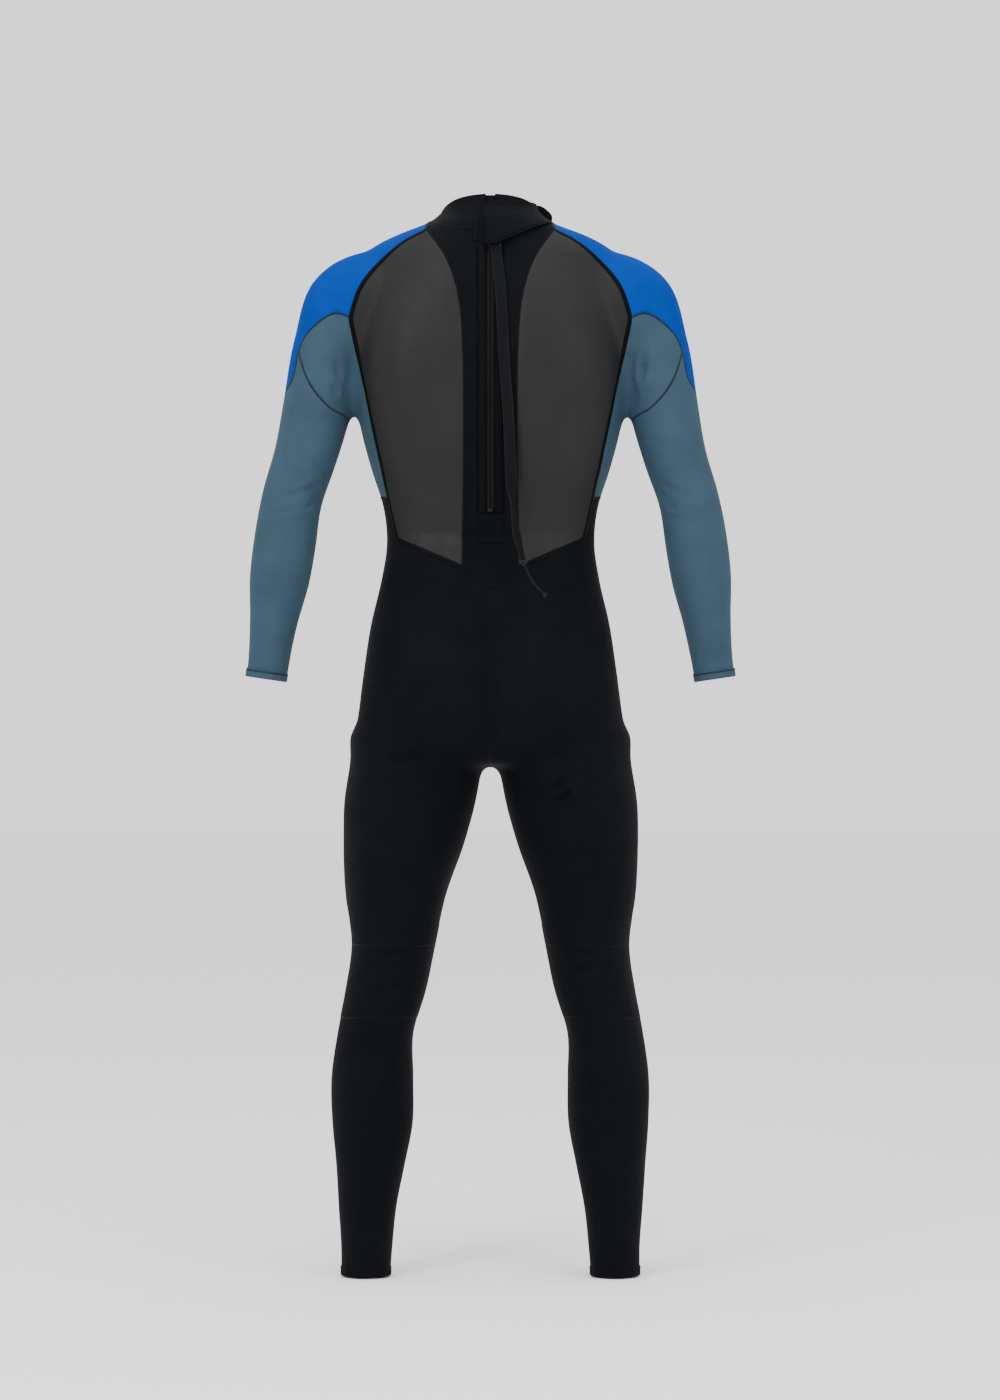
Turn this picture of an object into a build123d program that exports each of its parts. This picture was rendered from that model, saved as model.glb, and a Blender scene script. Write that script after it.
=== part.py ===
from build123d import *
from math import asin, cos, degrees, pi, radians, sin, sqrt, tan
import os

# A men's full wetsuit with a back zip, in the shape it takes when worn, nobody inside.
# Millimetres. +Z is up, the back of the suit faces +Y, the wearer's left is +X.
# The origin is the middle of the neck opening; heights are counted from the ankle hems.
# Left and right match, apart from the closure flap, the slider's pull and the leash.

os.makedirs("parts", exist_ok=True)

NECK_HEIGHT = 1457
BODY_WALL = 3
SLEEVE_WALL = 2
SKIN_GAP = 0.3
FAR = 420

# The zip follows one arc down the back, about an axis across the body.
ZIP_ARC = 715
ZIP_APEX_HEIGHT = 1234
ZIP_APEX_BACK = 112
ZIP_BOTTOM = 1044

# Trunk stations: height, half width, back, front, squareness.
NAPE = [
    (1480, 65, 61, 64, 2.0),
    (1455, 66, 69, 62, 2.0),
]
SHOULDERS = [
    (1438, 86, 62, 2.0),
    (1424, 120, 66, 2.0),
    (1400, 160, 76, 2.1),
    (1365, 181, 88, 2.3),
    (1310, 187, 106, 2.5),
    (1240, 187, 118, 2.6),
    (1165, 180, 124, 2.6),
    (1100, 163, 116, 2.6),
    (1050, 147, 108, 2.5),
]
HIPS = [
    (1000, 142, 81, 104, 2.5),
    (950, 149, 86, 106, 2.5),
    (890, 163, 100, 102, 2.5),
    (820, 174, 112, 97, 2.5),
    (760, 184, 115, 92, 2.5),
    (715, 191, 107, 88, 2.4),
]
# Leg stations: height, centre x, half width, centre y, half depth.
LEG = [
    (692, 103, 91, 6, 94),
    (650, 110, 89, 2, 92),
    (590, 119, 83, -4, 88),
    (520, 130, 69, -8, 76),
    (450, 133, 57, -8, 66),
    (390, 143, 55, -3, 62),
    (330, 157, 52, 8, 60),
    (270, 161, 56, 16, 63),
    (210, 161, 55, 18, 60),
    (150, 164, 47, 15, 51),
    (90, 168, 39.5, 12, 43),
    (45, 169, 35.5, 12, 37),
    (14, 170, 34, 12, 34),
]
# Arm stations: centre x, y, height, lean from plumb in degrees, half width, half depth.
ARM = [
    (140, 10, 1338, 75, 52, 58),
    (195, 10, 1318, 45, 58, 60),
    (223, 10, 1262, 22, 49, 58),
    (238, 10, 1180, 15, 47.5, 54),
    (254, 10, 1115, 16, 43, 49),
    (271, 10, 1060, 14, 41.5, 45),
    (281, 6, 1005, 10, 42.5, 45),
    (289.5, 0, 950, 8.5, 40.5, 43),
    (297, -8, 896, 8.5, 33, 36),
    (303, -15, 851, 8.5, 29, 31),
    (306.5, -18, 826, 8.5, 28, 28),
]

# Seams, seen from behind: (x, height) on the wearer's left side.
YOKE_EDGE = [(78, 1500), (86, 1424), (117, 1408), (151, 1378), (176, 1345), (190, 1304)]
FLANK_EDGE = [(190, 1304), (139, 1060), (127, 1004)]
WAIST_EDGE = [(127, 1004), (37, 965), (0, 937)]
YOKE_HEM = [(190, 1304), (213, 1310), (247, 1286), (261, 1259), (271, 1218), (300, 1190)]
GUSSET = [(261, 1259), (247, 1218), (220, 1184), (199, 1173), (188, 1160)]
FLANK_HEM = [(188, 1072), (139, 1060)]
SPINE_EDGE = [(86, 1424), (55, 1375), (38, 1300), (35, 1155), (37, 965)]
COLLAR_BACK = [(84, 1440), (62, 1428), (30, 1424), (0, 1423)]
COLLAR_FRONT = [(84, 1440), (78, 1420), (60, 1402), (30, 1391), (0, 1388)]
COLLAR_RIM = [(-90, 1432), (90, 1483)]

# Closure flap, seen from behind: (x, height).
FLAP_LEFT = [(0, 1460), (13, 1458), (13, 1403), (0, 1402)]
FLAP_RIGHT = [(0, 1460), (-30, 1463), (-70, 1462), (-84, 1449), (-82, 1437), (-58, 1427), (0, 1402)]
FLAP_LIFT = 2.6
FLAP_THICK = 2.6
FLAP_PIVOT = (-80, 0)
FLAP_SPREAD = 2.5
PATCH = [(-55, 1461), (-70, 1460), (-82, 1448), (-80, 1438), (-55, 1430)]
LOOP_THICK = 1.2
HOOK_THICK = 1.1
FLAP_SEAM = [(17, 1455), (24, 1454), (24, 1407), (17, 1405)]

# Zip, across and through the suit: rows, tapes and the slider that runs on them.
ROW_INNER = 0.8
ROW_OUTER = 3.6
ROW_HALF = 1.2
TAPE_OUTER = 16
TAPE_HALF = 0.5
SLOT = 6.5
PLACKET = 16.5
SLIDER_LOW = 1406
SLIDER_HIGH = 1420
SLIDER_HALF_WIDTH = 5.6
SLIDER_ROOM = 1.5
PLATE = 1.4
PIVOT_HEIGHT = 1409
PIVOT_OUT = 1.0
PULL_BAR_HEIGHT = 1400
PATCH_LOW = 998
PATCH_HIGH = 1038

# Leash route from the pull down: (x, y, height); webbing first, then a thin cord.
WEBBING_ROUTE = [
    (-6, 95.5, 1401),
    (-13, 105, 1354),
    (-16, 113, 1300),
    (-19, 117, 1236),
    (-24, 118.5, 1176),
    (-27, 118.8, 1112),
    (-29, 118.2, 1056),
    (-34, 118.6, 1010),
    (-44, 118, 974),
]
WEBBING_WIDTH = 15
WEBBING_THICK = 2
CORD_ROUTE = [(-46, 118, 967), (-51, 118, 954), (-60, 117.6, 940), (-71, 117.4, 929)]
CORD_WIDTH = 3
KNOT = (-45.2, 118, 970)
KNOT_RADIUS = 4.2
END_KNOT = (-73, 117.4, 927)
END_KNOT_RADIUS = 3.2

# Joints.
ELBOW = (271.5, 10, 1056)
ELBOW_LEAN = 13
ELBOW_HALF = 70
KNEE = (137, 5, 422)
KNEE_HALF = 87

# Hems.
HEM = 12
WRIST_OUTER = 28.6
WRIST_BORE = 26
ANKLE_HEM = 14
ANKLE_OUTER = 34.8
ANKLE_BORE = 31


def z_of(height):
    return height - NECK_HEIGHT


def level(height):
    return Plane.XY.offset(z_of(height))


def raised(points):
    """Outline points with their heights turned into z."""
    return [(across, z_of(height)) for across, height in points]


def spine_back(height):
    """How far behind the neck's axis the back's middle line is, along the zip's arc."""
    rise = height - ZIP_APEX_HEIGHT
    return ZIP_APEX_BACK - ZIP_ARC + sqrt(ZIP_ARC**2 - rise**2)


def trunk_stations():
    shoulders = [(h, side, spine_back(h), front, square) for h, side, front, square in SHOULDERS]
    return NAPE + shoulders + HIPS


def half_section(side, back, front, square, wall, middle):
    """Left half of one trunk section, drawn in by wall, with its straight side at middle."""
    points = [(middle, wall - front)]
    for angle in range(-75, 80, 15):
        turn = radians(angle)
        depth = (back if angle > 0 else front) - wall
        sign = 1 if angle > 0 else -1
        x = (side - wall) * cos(turn) ** (2 / square)
        points.append((x, sign * depth * abs(sin(turn)) ** (2 / square)))
    points.append((middle, back - wall))
    return points


def leg_arc(station, wall, start, end, steps):
    """Points along one stretch of a leg's oval section."""
    height, x, half_width, y, half_depth = station
    turns = [radians(start + (end - start) * i / steps) for i in range(steps + 1)]
    return [(x + (half_width - wall) * cos(t), y + (half_depth - wall) * sin(t)) for t in turns]


def trunk(wall):
    """Left half of the trunk, drawn in by wall; an inside one runs past the middle to cut it open."""
    middle = -4 if wall > 0 else 0
    with BuildPart() as body:
        for height, side, back, front, square in trunk_stations():
            points = half_section(side, back, front, square, wall, middle)
            with BuildSketch(level(height)):
                with BuildLine():
                    Spline(points, tangents=[(1, 0), (-1, 0)])
                    Line(points[-1], points[0])
                make_face()
        loft()
    return body.part


def crotch(wall):
    """Where half of the trunk turns into a closed leg."""
    height, side, back, front, square = trunk_stations()[-1]
    points = half_section(side, back, front, square, wall, wall)
    with BuildPart() as body:
        with BuildSketch(level(height)):
            with BuildLine():
                Spline(points, tangents=[(1, 0), (-1, 0)])
                Line(points[-1], points[0])
            make_face()
        with BuildSketch(level(LEG[0][0])):
            with BuildLine():
                Spline(leg_arc(LEG[0], wall, -120, 120, 12))
                Spline(leg_arc(LEG[0], wall, 120, 240, 4))
            make_face()
        loft(ruled=True)
    return body.part


def leg(wall):
    with BuildPart() as body:
        for height, x, half_width, y, half_depth in LEG:
            with BuildSketch(level(height)):
                with Locations((x, y)):
                    Ellipse(half_width - wall, half_depth - wall)
        loft()
    return body.part


def arm_plane(x, y, height, lean):
    tilt = radians(lean)
    return Plane(
        origin=(x, y, z_of(height)),
        x_dir=(cos(tilt), 0, sin(tilt)),
        z_dir=(sin(tilt), 0, -cos(tilt)),
    )


def arm(wall):
    with BuildPart() as body:
        for x, y, height, lean, half_width, half_depth in ARM:
            with BuildSketch(arm_plane(x, y, height, lean)):
                Ellipse(half_width - wall, half_depth - wall)
        loft()
    return body.part


def hollow(outside, inside):
    with BuildPart() as shell:
        add(outside)
        add(inside, mode=Mode.SUBTRACT)
    return shell.part


def joined(*pieces):
    with BuildPart() as whole:
        for piece in pieces:
            add(piece)
    return whole.part


def clip(body, outline, plane=Plane.XZ):
    """The stretch of body that lies inside outline, seen square to plane."""
    with BuildPart() as piece:
        add(body)
        with BuildSketch(plane):
            with BuildLine():
                Polyline(outline, close=True)
            make_face()
        extrude(amount=FAR, both=True, mode=Mode.INTERSECT)
    return piece.part


def between(body, top, bottom):
    """The stretch of body between two heights."""
    box = [(-FAR, top), (FAR, top), (FAR, bottom), (-FAR, bottom)]
    return clip(body, raised(box))


def behind(body, y):
    return clip(body, [(y, -2000), (y, 200), (FAR, 200), (FAR, -2000)], Plane.YZ)


def before(body, y):
    return clip(body, [(-FAR, -2000), (-FAR, 200), (y, 200), (y, -2000)], Plane.YZ)


def twin(piece):
    with BuildPart() as other:
        mirror(piece, about=Plane.YZ)
    return other.part


def save(piece, name):
    piece.label = name
    export_step(piece, f"parts/{name}.step")


def save_pair(piece, name):
    save(piece, f"{name}_left")
    save(twin(piece), f"{name}_right")


def cut_at(piece, plane, keep):
    with BuildPart() as rest:
        add(piece)
        split(bisect_by=plane, keep=keep)
    return rest.part


def rounded_route(points):
    """Radii that let each corner's arc take 0.45 of its shorter run, and the length of the route."""
    radii = []
    cut = 0
    for before_it, corner, after_it in zip(points, points[1:], points[2:]):
        first = Vector(*corner) - Vector(*before_it)
        second = Vector(*after_it) - Vector(*corner)
        turn = radians(first.get_angle(second))
        reach = 0.45 * min(first.length, second.length)
        radii.append(reach / tan(turn / 2))
        cut += 2 * reach - radii[-1] * turn
    runs = sum((Vector(*b) - Vector(*a)).length for a, b in zip(points, points[1:]))
    return radii, runs - cut


def zip_angle(height):
    return degrees(asin((height - ZIP_APEX_HEIGHT) / ZIP_ARC))


ZIP_CENTRE = (0, ZIP_APEX_BACK - ZIP_ARC, z_of(ZIP_APEX_HEIGHT))


def zip_plane(height):
    """Square to the zip's arc at a height; its second direction points out of the back."""
    angle = radians(zip_angle(height))
    return Plane(origin=ZIP_CENTRE, x_dir=(1, 0, 0), z_dir=(0, -sin(angle), cos(angle)))


def zip_band(left, right, deep, shallow, low, high):
    """A band along the zip's arc, between two x, two depths under the back and two heights."""
    width = right - left
    with BuildPart() as band:
        with BuildSketch(zip_plane(low)):
            with Locations(((left + right) / 2, ZIP_ARC - (deep + shallow) / 2)):
                Rectangle(width, deep - shallow)
        revolve(axis=Axis(ZIP_CENTRE, (1, 0, 0)), revolution_arc=zip_angle(high) - zip_angle(low))
    return band.part


def group(pieces):
    """Separate solids that share one node."""
    return Compound(children=[solid for piece in pieces for solid in piece.solids()])


# The suit's left half as one hollow shell, which the seams then cut into panels.
upper_shell = hollow(
    joined(trunk(0), arm(0)),
    joined(trunk(BODY_WALL), arm(SLEEVE_WALL)),
)
crotch_shell = hollow(crotch(0), crotch(BODY_WALL))
leg_shell = hollow(leg(0), leg(BODY_WALL))

# Collar: a seam round the neck, low in front, and a rim that slopes forward and down.
RIDGE_Y = 8
FAR_LOW = 1380
collar_back = clip(behind(upper_shell, RIDGE_Y), raised(COLLAR_BACK + [(0, 1500), (84, 1500)]))
collar_front = clip(before(upper_shell, RIDGE_Y), raised(COLLAR_FRONT + [(0, 1500), (84, 1500)]))
collar_half = clip(
    joined(collar_back, collar_front),
    raised(COLLAR_RIM + [(90, FAR_LOW), (-90, FAR_LOW)]),
    Plane.YZ,
)
with BuildPart() as collar:
    add(collar_half)
    mirror(collar_half, about=Plane.YZ)
    with Locations((0, FAR / 2, z_of(1450))):
        Box(2 * SLOT, FAR, 100, mode=Mode.SUBTRACT)
save(collar.part, "collar")

# Everything below the collar seam.
below_back = behind(upper_shell, RIDGE_Y)
below_back = clip(below_back, raised(COLLAR_BACK + [(0, 690), (FAR, 690), (FAR, 1440)]))
below_front = before(upper_shell, RIDGE_Y)
below_front = clip(below_front, raised(COLLAR_FRONT + [(0, 690), (FAR, 690), (FAR, 1440)]))

# Shoulder yokes, over the shoulder and onto the upper arm.
YOKE = YOKE_EDGE + YOKE_HEM[1:] + [(FAR, 1190), (FAR, 1500)]
yoke = joined(clip(below_back, raised(YOKE)), clip(below_front, raised(YOKE)))
save_pair(yoke, "shoulder_yoke")

# Side panels: the flank, the armpit and the gusset on the upper arm.
FLANK = YOKE_HEM[:3] + GUSSET + FLANK_HEM
side_panel = joined(clip(below_back, raised(FLANK)), clip(below_front, raised(FLANK)))
save_pair(side_panel, "side_panel")

# Back and chest.
CENTRE = [(0, 1500)] + YOKE_EDGE + FLANK_EDGE[1:] + WAIST_EDGE[1:]
back_half = clip(below_back, raised(CENTRE))
BACK = YOKE_EDGE[1:] + FLANK_EDGE[1:] + WAIST_EDGE[1:2] + SPINE_EDGE[-2:0:-1]
save_pair(clip(back_half, raised(BACK)), "back_panel")
SPINE = [(0, 1500), (78, 1500)] + SPINE_EDGE + [(0, 937)]
spine_half = clip(back_half, raised(SPINE))
with BuildPart() as spine_panel:
    add(spine_half)
    mirror(spine_half, about=Plane.YZ)
    with BuildSketch(Plane.XZ):
        with Locations((0, z_of((PATCH_HIGH + 1500) / 2))):
            Rectangle(2 * PLACKET, 1500 - PATCH_HIGH)
    extrude(amount=FAR, both=True, mode=Mode.SUBTRACT)
save(spine_panel.part, "spine_panel")
chest_half = clip(below_front, raised(CENTRE))
save(joined(chest_half, twin(chest_half)), "chest_panel")

# Sleeves: from the gusset seam, in three lengths so that the elbow can bend.
SLEEVE = [(261, 1259), (271, 1218), (300, 1190), (FAR, 1190), (FAR, 770), (188, 770)]
SLEEVE += GUSSET[:0:-1]
sleeve = joined(clip(below_back, raised(SLEEVE)), clip(below_front, raised(SLEEVE)))
elbow_lean = radians(ELBOW_LEAN)


def elbow_plane(along):
    x, y, height = ELBOW
    down = (sin(elbow_lean), 0, -cos(elbow_lean))
    return Plane(
        origin=(x + along * down[0], y, z_of(height) + along * down[2]),
        x_dir=(cos(elbow_lean), 0, sin(elbow_lean)),
        z_dir=down,
    )


save_pair(cut_at(sleeve, elbow_plane(-ELBOW_HALF), Keep.BOTTOM), "upper_sleeve")
below_elbow_top = cut_at(sleeve, elbow_plane(-ELBOW_HALF), Keep.TOP)
save_pair(cut_at(below_elbow_top, elbow_plane(ELBOW_HALF), Keep.BOTTOM), "elbow_sleeve")
save_pair(cut_at(sleeve, elbow_plane(ELBOW_HALF + SKIN_GAP), Keep.TOP), "forearm_sleeve")

# Hems: a turned ring at each wrist and ankle.
with BuildPart() as wrist_hem:
    with BuildSketch(arm_plane(*ARM[-1][:4])):
        Circle(WRIST_OUTER)
        Circle(WRIST_BORE, mode=Mode.SUBTRACT)
    extrude(amount=HEM)
save_pair(wrist_hem.part, "wrist_hem")
with BuildPart() as ankle_hem:
    with BuildSketch(level(0)):
        with Locations((LEG[-1][1], LEG[-1][3])):
            Circle(ANKLE_OUTER)
            Circle(ANKLE_BORE, mode=Mode.SUBTRACT)
    extrude(amount=ANKLE_HEM)
save_pair(ankle_hem.part, "ankle_hem")

# Trousers: waist, seat and thigh in one half each, joined down the middle.
TROUSER = WAIST_EDGE[::-1] + [(139, 1060), (188, 1072), (200, 1060), (200, 690), (0, 690)]
knee_height = KNEE[2]
waist = joined(clip(below_back, raised(TROUSER)), clip(below_front, raised(TROUSER)))
thigh = between(leg_shell, LEG[0][0], knee_height + KNEE_HALF)
save(group([waist, crotch_shell, thigh]), "trouser_left")
save(group([twin(waist), twin(crotch_shell), twin(thigh)]), "trouser_right")
knee = between(leg_shell, knee_height + KNEE_HALF, knee_height - KNEE_HALF)
save_pair(behind(knee, 0), "knee_back")
pad = between(hollow(leg(-1), leg(BODY_WALL)), knee_height + KNEE_HALF, knee_height - KNEE_HALF)
save_pair(before(pad, 0), "knee_pad")
save_pair(between(leg_shell, knee_height - KNEE_HALF - SKIN_GAP, LEG[-1][0]), "shin")

with BuildPart() as crotch_gusset:
    with BuildSketch(Plane.XZ):
        with BuildLine():
            Polyline(raised([(0, 714.5), (6, 704), (-6, 704)]), close=True)
        make_face()
    extrude(amount=22, both=True)
    add(crotch_shell, mode=Mode.SUBTRACT)
    mirror(crotch_shell, about=Plane.YZ, mode=Mode.SUBTRACT)
save(crotch_gusset.part, "crotch_gusset")

# Seam tape along the outer edge of the back and chest panels.
tape_skin = hollow(joined(trunk(-1), arm(-1)), joined(trunk(0), arm(0)))
with BuildPart() as seam_tape:
    add(tape_skin)
    with BuildSketch(Plane.XZ):
        with BuildLine():
            Polyline(raised(YOKE_EDGE[1:] + FLANK_EDGE[1:]))
        trace(line_width=6)
    extrude(amount=FAR, both=True, mode=Mode.INTERSECT)
save_pair(seam_tape.part, "seam_tape")

# Zip: placket, tapes, rows, stops and the patch under it.
ROW_DEPTH = BODY_WALL + TAPE_HALF
LOW = PATCH_HIGH
TOP = 1422
placket = zip_band(SLOT, PLACKET, BODY_WALL, 0, LOW, TOP)
save_pair(placket, "zip_placket")
tape = zip_band(ROW_OUTER, TAPE_OUTER, ROW_DEPTH + TAPE_HALF, BODY_WALL, ZIP_BOTTOM, TOP)
save_pair(tape, "zip_tape")
row = zip_band(ROW_INNER, ROW_OUTER, ROW_DEPTH + ROW_HALF, ROW_DEPTH - ROW_HALF, ZIP_BOTTOM, TOP)
save_pair(row, "zip_row")
stop = zip_band(-4.4, 4.4, ROW_DEPTH + 1.6, ROW_DEPTH - 1.6, LOW, ZIP_BOTTOM)
save(stop, "zip_bottom_stop")
top_stop = zip_band(ROW_INNER, ROW_OUTER, ROW_DEPTH + 1.6, ROW_DEPTH - 1.6, TOP, TOP + 3)
save(group([top_stop, twin(top_stop)]), "zip_top_stops")
barrier = joined(
    zip_band(-24, 24, 9, 7, LOW - 6, TOP),
    zip_band(18, 24, 7, BODY_WALL + 1.2, LOW - 6, TOP),
)
save(barrier, "zip_barrier")
patch_skin = hollow(trunk(-0.8), trunk(0))
patch_box = raised([(0, PATCH_HIGH), (PLACKET, PATCH_HIGH), (PLACKET, PATCH_LOW), (0, PATCH_LOW)])
patch_half = clip(behind(patch_skin, RIDGE_Y), patch_box)
save(joined(patch_half, twin(patch_half)), "zip_patch")

# Slider: two plates joined by a post between the rows, flanges round them, a bail for the pull.
OUT = ROW_DEPTH - SLIDER_ROOM
IN = ROW_DEPTH + SLIDER_ROOM
flange_out = zip_band(4.2, SLIDER_HALF_WIDTH, OUT + 0.6, OUT, SLIDER_LOW, SLIDER_HIGH)
flange_in = zip_band(4.2, SLIDER_HALF_WIDTH, IN, IN - 0.6, SLIDER_LOW, SLIDER_HIGH)
slider = joined(
    zip_band(-SLIDER_HALF_WIDTH, SLIDER_HALF_WIDTH, OUT, OUT - PLATE, SLIDER_LOW, SLIDER_HIGH),
    zip_band(-SLIDER_HALF_WIDTH, SLIDER_HALF_WIDTH, IN + PLATE, IN, SLIDER_LOW, SLIDER_HIGH),
    flange_out,
    flange_in,
    twin(flange_out),
    twin(flange_in),
    zip_band(-0.5, 0.5, IN, OUT, SLIDER_HIGH - 4, SLIDER_HIGH),
    zip_band(-1.2, 1.2, OUT - PLATE, -3.4, SLIDER_LOW, SLIDER_LOW + 1.4),
    zip_band(-1.2, 1.2, OUT - PLATE, -3.4, SLIDER_LOW + 7, SLIDER_LOW + 8.4),
    zip_band(-1.2, 1.2, -2.4, -3.4, SLIDER_LOW, SLIDER_LOW + 8.4),
)
save(slider, "zip_slider")

# Pull: a pin through the bail, two cheeks and the bar that carries the leash.
pin_angle = radians(zip_angle(PIVOT_HEIGHT))
pin_reach = ZIP_ARC + PIVOT_OUT
with BuildPart() as pull_pin:
    with BuildSketch(Plane.YZ.offset(-3.5)):
        with Locations(
            (
                ZIP_CENTRE[1] + pin_reach * cos(pin_angle),
                ZIP_CENTRE[2] + pin_reach * sin(pin_angle),
            )
        ):
            Circle(0.8)
    extrude(amount=7)
cheek = zip_band(2, 3.5, -0.2, -1.8, PULL_BAR_HEIGHT + 1, PIVOT_HEIGHT)
pull = joined(
    pull_pin.part,
    cheek,
    twin(cheek),
    zip_band(-14.5, 3.5, -0.2, -2.2, PULL_BAR_HEIGHT - 2, PULL_BAR_HEIGHT + 1),
)
save(pull, "zip_pull")


def print_route(name, points, diameter):
    radii, length = rounded_route(points)
    print(name, "length", round(length, 1), "radii", [round(r) for r in radii], "width", diameter)
    return radii, length


# Leash: flat webbing, its two views worked from one route.
webbing_points = [(x, y, z_of(height)) for x, y, height in WEBBING_ROUTE]
print_route("webbing", webbing_points, WEBBING_WIDTH)
webbing_front = [(x, z) for x, y, z in webbing_points]
webbing_side = [(y, z) for x, y, z in webbing_points]
with BuildPart() as webbing:
    with BuildSketch(Plane.XZ):
        with BuildLine():
            FilletPolyline(webbing_front, radius=rounded_route(webbing_front)[0])
        trace(line_width=WEBBING_WIDTH)
    extrude(amount=FAR, both=True)
    with BuildSketch(Plane.YZ):
        with BuildLine():
            FilletPolyline(webbing_side, radius=rounded_route(webbing_side)[0])
        trace(line_width=WEBBING_THICK)
    extrude(amount=FAR, both=True, mode=Mode.INTERSECT)
save(webbing.part, "leash_webbing")

cord_points = [(x, y, z_of(height)) for x, y, height in CORD_ROUTE]
cord_radii, cord_length = print_route("cord", cord_points, CORD_WIDTH)
with BuildPart() as leash_cord:
    with BuildLine():
        route = FilletPolyline(cord_points, radius=cord_radii)
    with BuildSketch(Plane(origin=route @ 0, z_dir=route % 0)):
        Circle(CORD_WIDTH / 2)
    sweep()
save(leash_cord.part, "leash_cord")
print("cord volume", round(leash_cord.part.volume, 1), "expected", round(pi * 2.25 * cord_length, 1))
for name, place, radius in (
    ("leash_knot", KNOT, KNOT_RADIUS),
    ("leash_end_knot", END_KNOT, END_KNOT_RADIUS),
):
    with BuildPart() as knot:
        with Locations((place[0], place[1], z_of(place[2]))):
            Sphere(radius)
    save(knot.part, name)

# Closure flap: sewn on the left of the slit, it crosses the nape to a tab on the right.
flap_skin = hollow(trunk(-FLAP_LIFT - FLAP_THICK), trunk(-FLAP_LIFT))
hook_skin = hollow(trunk(-FLAP_LIFT), trunk(-FLAP_LIFT + HOOK_THICK))
loop_skin = hollow(trunk(-LOOP_THICK), trunk(0))
seam_skin = hollow(trunk(-3.5), trunk(0))
flap_piece = joined(
    clip(behind(flap_skin, RIDGE_Y), raised(FLAP_LEFT)),
    clip(behind(twin(flap_skin), -4), raised(FLAP_RIGHT)),
)
swing = Pos(*FLAP_PIVOT, 0) * Rot(0, 0, FLAP_SPREAD) * Pos(-FLAP_PIVOT[0], -FLAP_PIVOT[1], 0)
save(swing * flap_piece, "closure_flap")
save(swing * clip(behind(twin(hook_skin), 0), raised(PATCH)), "hook_patch")
save(clip(behind(twin(loop_skin), 0), raised(PATCH)), "loop_patch")
save(clip(behind(seam_skin, RIDGE_Y), raised(FLAP_SEAM)), "flap_seam")
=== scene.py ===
import bpy
import math
import numpy as np
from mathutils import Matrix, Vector


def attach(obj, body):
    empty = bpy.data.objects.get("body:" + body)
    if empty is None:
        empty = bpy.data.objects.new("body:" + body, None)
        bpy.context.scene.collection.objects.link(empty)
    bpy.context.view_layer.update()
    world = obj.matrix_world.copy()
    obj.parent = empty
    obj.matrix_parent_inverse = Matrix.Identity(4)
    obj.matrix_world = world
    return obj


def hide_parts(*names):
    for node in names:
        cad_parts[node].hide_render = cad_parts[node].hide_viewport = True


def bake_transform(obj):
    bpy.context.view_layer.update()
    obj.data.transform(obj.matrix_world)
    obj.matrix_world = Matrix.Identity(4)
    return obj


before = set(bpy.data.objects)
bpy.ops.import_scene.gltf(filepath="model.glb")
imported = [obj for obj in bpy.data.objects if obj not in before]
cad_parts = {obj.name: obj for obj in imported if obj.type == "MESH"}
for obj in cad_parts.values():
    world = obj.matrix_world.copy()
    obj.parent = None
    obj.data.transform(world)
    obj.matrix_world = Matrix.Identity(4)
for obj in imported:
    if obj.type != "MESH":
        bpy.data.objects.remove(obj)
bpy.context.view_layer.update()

# Lengths below are millimetres, heights counted from the ankle hems, as in the CAD.
NECK = 1457.0
WALL = 3.0
SLEEVE_WALL = 2.0
# The zip's arc: its radius, and the height and y of the point furthest back.
ARC, APEX_H, APEX_Y = 715.0, 1234.0, 112.0
# The voxel of the first form is in metres.
VOXEL = 0.0048

# Trunk: height, half width, back, front, squareness. At the shoulders the back lies on the zip's arc.
NAPE = [(1480, 65, 61, 64, 2.0), (1455, 66, 69, 62, 2.0)]
SHOULDERS = [
    (1438, 87, 62, 2.0), (1424, 124, 66, 2.0), (1400, 168, 76, 2.1), (1365, 181, 88, 2.3),
    (1310, 187, 106, 2.5), (1240, 187, 118, 2.6), (1165, 180, 124, 2.6), (1100, 163, 116, 2.6),
    (1050, 147, 108, 2.5),
]
HIPS = [
    (1000, 142, 81, 104, 2.5), (950, 149, 86, 106, 2.5), (890, 163, 100, 102, 2.5),
    (820, 174, 112, 97, 2.5), (760, 182, 115, 92, 2.5), (715, 190, 106, 86, 2.4),
]
# Leg: height, middle x, half width, middle y, half depth.
LEG = [
    (762, 86, 74, 9, 76), (740, 95, 86, 9, 87), (718, 101, 89.5, 8, 91), (692, 103, 91, 6, 94), (650, 110, 90.5, 2, 92),
    (590, 119, 83, -4, 88), (520, 130, 69, -8, 76), (450, 133, 57, -8, 66), (390, 143, 55, -3, 62),
    (330, 157, 52, 8, 60), (270, 161, 56, 16, 63), (210, 161, 55, 18, 60), (150, 164, 47, 15, 51),
    (90, 168, 39.5, 12, 43), (45, 169, 35.5, 12, 37), (14, 170, 34, 12, 34), (-30, 171, 34, 12, 34),
]
# Arm: middle x, y and height, lean in degrees, half width, half depth.
ARM = [
    (95, 10, 1352, 84, 48, 52), (140, 10, 1347, 78, 54, 58), (170, 10, 1338, 64, 60, 60),
    (195, 10, 1320, 46, 60, 60),
    (223, 10, 1262, 22, 49, 58), (238, 10, 1180, 15, 47.5, 54), (254, 10, 1115, 16, 43, 49),
    (271, 10, 1060, 14, 41.5, 45), (281, 6, 1005, 10, 42.5, 45), (289.5, 0, 950, 8.5, 40.5, 43),
    (297, -8, 896, 8.5, 33, 36), (303, -15, 851, 8.5, 29, 31), (306.5, -18, 826, 8.5, 28, 28),
    (312, -22, 790, 8.5, 28, 28),
]
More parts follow.
